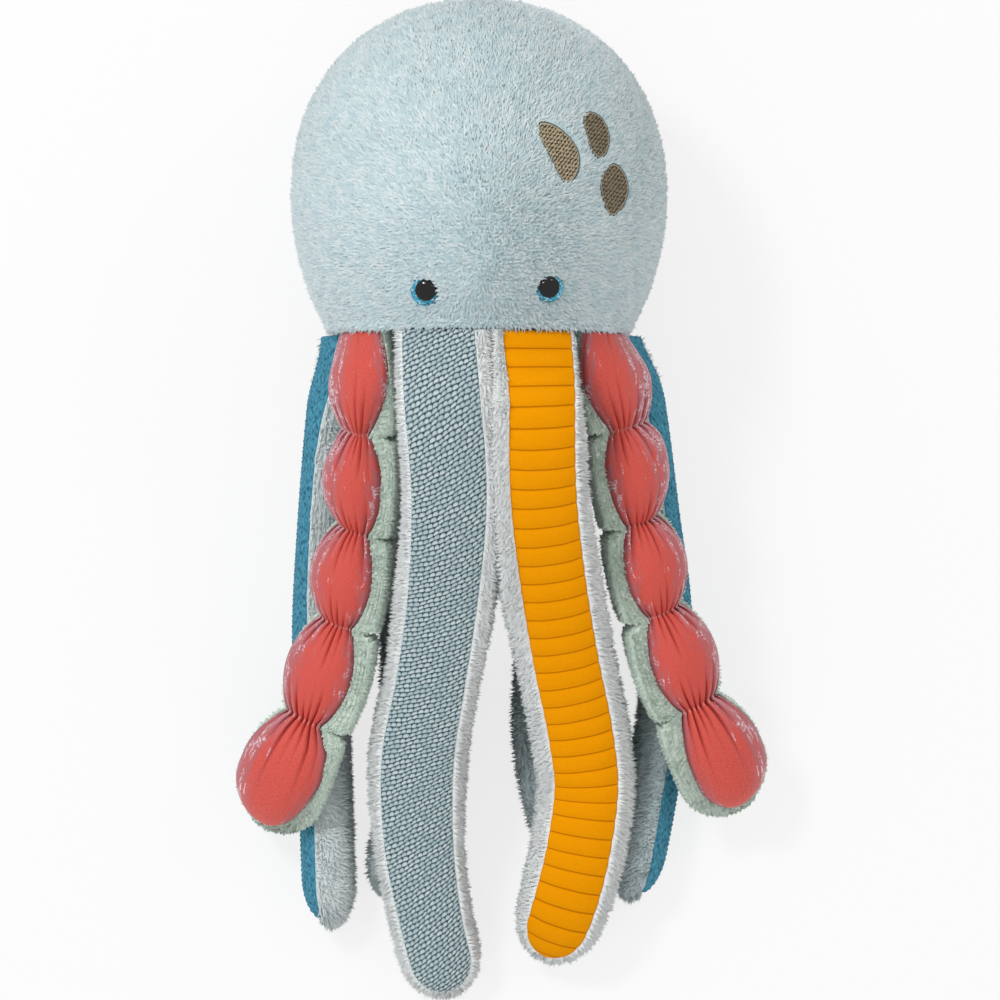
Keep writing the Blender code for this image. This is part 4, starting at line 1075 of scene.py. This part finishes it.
def armShape(arm, places, inset=0.0):
    # Frames and section sizes at each place, for a surface that lies inset inside the casing
    length = armRoute(arm)[0][-1]
    track, across, out, along = armFrames(arm, places)
    fill = filling(places)
    bodyRound = rounding(places, length, inset)
    panelRound = rounding(places, length, 0.0, limb["panelEnd"])
    if arm["kind"] == "puffed":
        seam = np.full_like(places, 1.0)
        half = limb["rootDepth"] / 2
        crown = half + (limb["puffRise"] - half) * fill
        back = half + (limb["sideBack"] - half) * fill
    else:
        rear = abs(arm["ring"]) > 120
        depth = limb["rearDepth"] if rear else (
            limb["flankDepth"] if arm["kind"] == "dimpled" else limb["frontDepth"])
        crown = (limb["rootDepth"] + (depth - limb["rootDepth"]) * fill) / 2
        back = crown
        seam = crown - limb["dome"] * (0.5 + 0.5 * fill)
    left = right = np.ones_like(places)
    bodyHalf, panelHalf = track[:, 3] / 2, track[:, 4] / 2
    panel = panelHalf * panelRound
    if arm["kind"] == "puffed":
        slack = 1 - puffFullness(places, length)
        outer, inner = 1 - limb["pullOuter"] * slack, 1 - limb["pullInner"] * slack
        left, right = (outer, inner) if arm["outer"] < 0 else (inner, outer)
    panelLeft, panelRight = panel * left, panel * right
    if arm["kind"] == "puffed":
        outerHalf = panel * (1 - limb["panelPull"] * slack)
        narrowing = np.array((0.5, 1.5)) * limb["gathers"][0] * length
        innerHalf = outerHalf * np.interp(places, narrowing, (1.0, limb["panelInner"]))
        outerHalf = outerHalf + readTable(arm["outerMore"], places) * panelRound
        innerHalf = innerHalf + readTable(arm["innerMore"], places) * panelRound
        halves = (outerHalf, innerHalf)
        panelLeft, panelRight = halves if arm["outer"] < 0 else halves[::-1]
    bodyLeft, bodyRight = (np.maximum(bodyHalf * side - inset, panelHalf * side + limb["rim"])
                           * bodyRound for side in (left, right))
    if arm["kind"] == "puffed":
        close = panelHalf * (1 - limb["panelPull"] * slack) + limb["outerTrim"]
        close = (close + readTable(arm["outerMore"], places)) * bodyRound
        folds = np.abs(places[:, None] - np.array(limb["gathers"]) * length) / limb["foldHalf"]
        fold = limb["foldDepth"] * np.clip(1 - folds, 0.0, 1.0).max(axis=1)
        if arm["outer"] < 0:
            bodyLeft = np.minimum(bodyLeft, close)
            bodyRight = bodyRight - fold
        else:
            bodyRight = np.minimum(bodyRight, close)
            bodyLeft = bodyLeft - fold
    for side, table in arm.get("swell", {}).items():
        more = readTable(table, places)
        if side == "left":
            bodyLeft = np.maximum(bodyLeft + more, panelLeft + limb["rim"] * bodyRound)
        else:
            bodyRight = np.maximum(bodyRight + more, panelRight + limb["rim"] * bodyRound)
    if "flare" in arm:
        panelLeft = panelLeft + readTable(arm["flare"], places)
    return dict(length=length, centre=track[:, :3], across=across, out=out, along=along,
                left=bodyLeft, right=bodyRight, panelLeft=panelLeft, panelRight=panelRight,
                seam=seam * bodyRound, rise=(crown - seam) * panelRound,
                back=(back - inset) * bodyRound, panelRound=panelRound)


def lay(shape, u, v):                                # section coordinates to points
    return (shape["centre"][:, None] + shape["across"][:, None] * u[..., None]
            + shape["out"][:, None] * v[..., None])


def gridCorners(rows, columns):                      # a grid closed across its columns
    index = np.arange(rows * columns).reshape(rows, columns)
    beside = np.roll(index, -1, axis=1)
    return index, (index[:-1], beside[:-1], beside[1:], index[1:])


def columnMarks(length, ranges, fine, coarse):
    marks, here = [0.0], 0.0
    while here < length:
        dense = any(low <= here / length < high for low, high in ranges)
        here += fine if dense else coarse
        marks.append(here)
    return np.array(marks) / marks[-1]


def makeCasing(name, arm):
    coat = dict(armCoats[arm["kind"]])
    coat["seed"] += int(abs(arm["ring"]))
    grain, aroundGrain = limb["frontGrain"]
    inset = coat["skinDepth"]
    length = armRoute(arm)[0][-1]
    straight = length - limb["tipRound"]
    reach = limb["tipRound"] - inset
    turn = np.linspace(0, math.radians(84), round(reach * 1.5 / grain))[1:]
    places = np.concatenate((np.linspace(0, straight, round(straight / grain)),
                             straight + reach * np.sin(turn)))
    shape = armShape(arm, places, inset)
    top, back = shape["seam"] - 0.6, -shape["back"]
    left, right = shape["left"], shape["right"]
    middle = np.zeros_like(top)
    bridge = {side: np.full_like(top, limb["bridge"]) for side in ("left", "right")}
    for side, table in arm.get("swell", {}).items():       # a high shoulder beside a close arm
        share = np.clip(readTable(table, places) / limb["fullSwell"], 0.0, 1.0)
        bridge[side] = limb["bridge"] + limb["shoulder"] * share
    controls = np.stack([np.stack(pair, axis=1) for pair in (
        (-shape["panelLeft"], top), (-left, bridge["left"] * top), (-0.93 * left, 0.5 * back),
        (-0.56 * left, 0.9 * back), (middle, back), (0.56 * right, 0.9 * back),
        (0.93 * right, 0.5 * back), (right, bridge["right"] * top), (shape["panelRight"], top))])
    chords = np.linalg.norm(np.diff(controls, axis=0), axis=2).mean(axis=1)
    knots = np.concatenate(([0.0], np.cumsum(chords)))
    key = name if name in denseRanges else name.split("_")[0]
    marks = columnMarks(knots[-1], denseRanges[key], aroundGrain, limb["restGrain"])
    ring = smoothTrack(knots, controls.reshape(len(knots), -1), marks * knots[-1])
    ring = ring.reshape(len(marks), len(places), 2).transpose(1, 0, 2)
    ring[..., 0] = np.clip(ring[..., 0], -left[:, None], right[:, None])
    ring[..., 1] = np.clip(ring[..., 1], back[:, None], np.maximum(top, 0.2)[:, None])
    under = shape["seam"] - limb["recess"] * np.minimum(1.0, 3 * shape["panelRound"])
    floorRight = np.stack((0.96 * shape["panelRight"], under), axis=1)[:, None]
    floorLeft = np.stack((-0.96 * shape["panelLeft"], under), axis=1)[:, None]
    ring = np.concatenate((ring, floorRight, floorLeft), axis=1)
    grid = lay(shape, ring[..., 0], ring[..., 1])
    rng = np.random.default_rng(coat["seed"])
    rows, columns = grid.shape[:2]
    shake = rng.uniform(-limb["shake"], limb["shake"], (rows, columns - 2, 1)) * grain
    shake[[0, -1]] = 0.0
    grid[:, :-2] += shape["along"][:, None] * shake
    index, (a, b, c, d) = gridCorners(rows, columns)
    odd = (np.add.outer(np.arange(rows - 1), np.arange(columns)) % 2 == 1)[..., None]
    first = np.where(odd, np.stack((a, b, c), axis=2), np.stack((a, b, d), axis=2))
    second = np.where(odd, np.stack((a, c, d), axis=2), np.stack((b, c, d), axis=2))
    faces = np.concatenate((first.reshape(-1, 3), second.reshape(-1, 3)))
    column = np.tile(np.tile(np.arange(columns), rows - 1), 2)
    rowOf = np.tile(np.repeat(np.arange(rows - 1), columns), 2)
    points = grid.reshape(-1, 3)
    tipPoint = shape["centre"][-1] + shape["along"][-1] * reach * (1 - math.sin(turn[-1]))
    rootPoint = shape["centre"][0]
    points = np.concatenate((points, [tipPoint, rootPoint]))
    last, final = index[-1], index[0]
    tipFan = np.stack((last, np.roll(last, -1), np.full(columns, len(points) - 2)), axis=1)
    rootFan = np.stack((np.roll(final, -1), final, np.full(columns, len(points) - 1)), axis=1)
    faces = np.concatenate((faces, tipFan, rootFan))
    furry = np.concatenate((column < columns - 3, np.ones(columns, bool), np.zeros(columns, bool)))
    rowOf = np.concatenate((rowOf, np.full(columns, rows - 1), np.zeros(columns, int)))
    faces = outward(points, faces)
    points[:, 2] = np.maximum(points[:, 2], limb["floorGap"])
    fromMiddle = np.where(column < len(marks) / 2, 1.0, -1.0)      # away from the panel's edges
    fromMiddle = np.concatenate((fromMiddle, np.zeros(2 * columns)))
    nextColumn = np.roll(grid, -1, axis=1) - grid
    around = unit(nextColumn[rowOf[:len(column)], column])
    around = np.concatenate((around, np.zeros((2 * columns, 3)))) * fromMiddle[:, None]
    comb = shape["along"][rowOf] * coat["combDown"] + around * (1 - coat["combDown"])
    growFur(name + "_casing", points, faces, furry, comb, coat,
            finish[arm.get("fur", coat["material"])], [name + "_arm"])


# Panels
def loftPanel(name, arm, shape, places, shares, lift, spread, node):
    # Rows of a raised surface, closed underneath, with the map in millimetres and a baking map
    wideLeft = shape["panelLeft"][:, None] * np.ones_like(shares)
    wideRight = shape["panelRight"][:, None] * np.ones_like(shares)
    u = np.where(shares < 0, shares * wideLeft, shares * wideRight) * spread
    v = shape["seam"][:, None] + lift
    foot = shape["seam"][:, None] - limb["thickness"]
    uAll = np.concatenate((u, u[:, -1:] * 0.97, u[:, :1] * 0.97), axis=1)
    vAll = np.concatenate((v, foot, foot), axis=1)
    grid = lay(shape, uAll, vAll)
    rows, columns = grid.shape[:2]
    index, (a, b, c, d) = gridCorners(rows, columns)
    quads = np.stack((a, b, c, d), axis=2).reshape(-1, 4)
    flatU, flatV = u, places
    if arm["kind"] == "ribbed":
        flatU = shares * ribs["half"] * np.ones_like(u)
    if arm["kind"] == "puffed":                     # cloth coordinates that gather with the cloth
        flatU = shares * coral["half"] * np.ones_like(u)
        flatV = puffPlace(places, shape["length"]) * coral["puffLength"]
    flatU = np.concatenate((flatU, np.full((rows, 2), 24.0)), axis=1)
    flatU[:, -1] = 28.0
    flatU = flatU * arm.get("outer", 1)
    surface = np.stack((flatU, flatV[:, None] * np.ones(columns)), axis=2).reshape(-1, 2) / 100.0
    mapU = np.concatenate((0.02 + 0.92 * (shares + 1) / 2, (0.965, 0.985)))
    mapV = 0.01 + 0.97 * places / places[-1]
    bake = np.stack(np.broadcast_arrays(mapU[None], mapV[:, None]), axis=2).reshape(-1, 2)
    corners = quads.ravel()
    cornerSurface, cornerBake = surface[corners], bake[corners]
    around = cornerBake.reshape(-1, 4, 2)
    wraps = np.tile(np.arange(columns) == columns - 1, rows - 1)
    around[wraps, 1, 0] = 0.995
    around[wraps, 2, 0] = 0.995
    cornerBake = around.reshape(-1, 2)
    ends = np.concatenate((index[0][::-1], index[-1]))
    endMap = np.stack((np.tile(mapU, 2), np.tile(np.arange(columns) % 2 * 0.004, 2)), axis=1)
    endSurface = np.stack((np.tile(flatU[0], 2), np.zeros(2 * columns)), axis=1) / 100.0
    sizes = np.concatenate((np.full(len(quads), 4), (columns, columns)))
    points = grid.reshape(-1, 3)
    first, second, _, fourth = (points[quads[:, i]] for i in range(4))
    volume = np.sum((first - points.mean(axis=0)) * np.cross(second - first, fourth - first))
    corners = np.concatenate((corners, ends))
    allSurface = np.concatenate((cornerSurface, endSurface))
    allBake = np.concatenate((cornerBake, endMap))
    if volume < 0:
        starts = np.concatenate(([0], np.cumsum(sizes)))
        order = np.concatenate([np.arange(e - 1, s - 1, -1) for s, e in zip(starts, starts[1:])])
        corners, allSurface, allBake = corners[order], allSurface[order], allBake[order]
    points[:, 2] = np.maximum(points[:, 2], 0.0)
    addPiece(name, points, corners, sizes, allSurface, allBake, finish[arm["kind"]], [node])


def panelPlaces(length, pitch):
    # Even rows, then rows round the panel's end
    straight = length - limb["tipRound"]
    reach = limb["tipRound"] * limb["panelEnd"]
    rows = max(2, round(straight / pitch))
    turn = np.linspace(0, math.radians(88), max(4, round(reach * 1.4 / pitch)))[1:]
    return np.concatenate((np.linspace(0, straight, rows), straight + reach * np.sin(turn)))


def edgedShares(columns, edge=0.02):                 # even, with two more close to the edges
    inner = np.linspace(-1 + 2 * edge, 1 - 2 * edge, columns - 4)
    return np.concatenate(((-1.0, -1 + edge), inner, (1 - edge, 1.0)))


def weaveHeight(across, along):                      # the same staggered nubs as the material's
    over = across / weave["nubWidth"]
    down = along / weave["nubLength"]
    down = down + over * weave["climb"] + np.sin(over * 2.3 + down * 0.9) * 0.12
    row = np.floor(down)
    over = over + (row % 2) * 0.5 + row * weave["drift"]
    over = over + np.sin(row * 2.4 + over * 0.8) * 0.18
    nearX = (2 * (over - np.floor(over)) - 1) ** 2
    nearY = 2 * (down - row) - 1
    below, above = np.maximum(nearY, 0.0) ** 1.8, np.maximum(-nearY, 0.0) ** 1.8
    nub = 1 - below * (1.15 - 0.6 * nearX) - above * (0.45 + 0.7 * nearX) - 0.6 * nearX ** 2
    return np.clip(nub, 0.0, 1.0) ** 0.7


def makePanel(name, arm):
    kind = arm["kind"]
    front = abs(arm["ring"]) < 120
    length = armRoute(arm)[0][-1]
    pitches = {"woven": weave["nubLength"] / 4 if front else 1.6,
               "ribbed": ribs["pitch"] / (10 if front else 6),
               "puffed": coral["pitch"], "dimpled": blue["pitch"] / 5}
    columnCounts = {"woven": 50 if front else 20, "ribbed": 18 if front else 12,
                    "puffed": 110, "dimpled": 36}
    places = panelPlaces(length, pitches[kind])
    shares = edgedShares(columnCounts[kind])
    shape = armShape(arm, places)
    rise = shape["rise"][:, None]
    spread = np.ones((len(places), 1))
    wide = np.where(shares < 0, shares * shape["panelLeft"][:, None],
                    shares * shape["panelRight"][:, None])
    edgeFade = np.clip((1 - np.abs(shares)) / 0.06, 0.0, 1.0)
    if kind == "woven":
        lift = rise * (1 - np.abs(shares) ** 2.5)
        lift = lift + weave["height"] * (weaveHeight(wide, places[:, None]) - 0.5) * edgeFade
    elif kind == "ribbed":
        phase = places / ribs["pitch"]
        rib = np.abs(np.sin(math.pi * phase))[:, None] ** 0.4
        lift = rise * (1 - np.abs(shares) ** 2.6)
        lift = lift + ribs["depth"] * (rib - 1) * (0.35 + 0.65 * edgeFade)
        spread = 1 + 0.022 * (rib - 0.7)
    elif kind == "dimpled":
        wave = 2 * math.pi / blue["pitch"]
        bubble = np.sin(wide * wave) * np.sin(places[:, None] * wave)
        lift = rise * (1 - np.abs(shares) ** 2.5) + blue["height"] * bubble * edgeFade
    else:
        full = puffFullness(places, length)[:, None]
        dome = np.clip(1 - np.abs(shares) ** 2.4, 0.0, 1.0) ** 0.7
        puff = puffPlace(places, length)[:, None]
        outwards = shares * arm["outer"]
        crease = (1 - np.abs(np.sin(outwards * coral["pleats"] + 0.5 * np.sin(2.8 * puff)))) ** 2
        reach = 1.3 + 0.7 * np.sin(7.0 * outwards + 2.1 * puff)
        lift = rise * dome * (0.25 + 0.75 * full)
        lift = lift - coral["pleatDepth"] * crease * (1 - full) ** reach * edgeFade
        spread = 0.92 + 0.14 * full
    loftPanel(name + "_panel", arm, shape, places, shares, lift, spread,
              name + "_" + kind + "_panel")


for armName, armData in armTable.items():
    makeCasing(armName, armData)
    makePanel(armName, armData)
    print(armName, "made")


# Base cloth between the arms
def makeBase():
    radius = ringRadius - limb["rootDepth"] / 2 - 3.0
    profile = [(r, -0.3 - 3.0 * (1 - (r / radius) ** 4)) for r in np.linspace(0.5, radius, 14)]
    profile = [(radius, -0.1)] + profile[::-1]
    points, corners, sizes = turned(profile, 72)
    flat = points[:, :2]
    body = np.stack((points[:, 0], baseY - limb["touch"] + points[:, 2], axisHeight + points[:, 1]),
                    axis=1)
    addPiece("base_cloth", body, corners, sizes, flat[corners] / 100.0,
             0.5 + flat[corners] / (2.1 * radius), finish["baseCloth"], ["head_base"])


makeBase()

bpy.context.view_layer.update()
made = [piece.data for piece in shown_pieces() if "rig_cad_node" not in piece]
print("pieces", len(made), "triangles", sum(len(m.loops) - 2 * len(m.polygons) for m in made),
      "largest", max(len(m.loops) - 2 * len(m.polygons) for m in made))
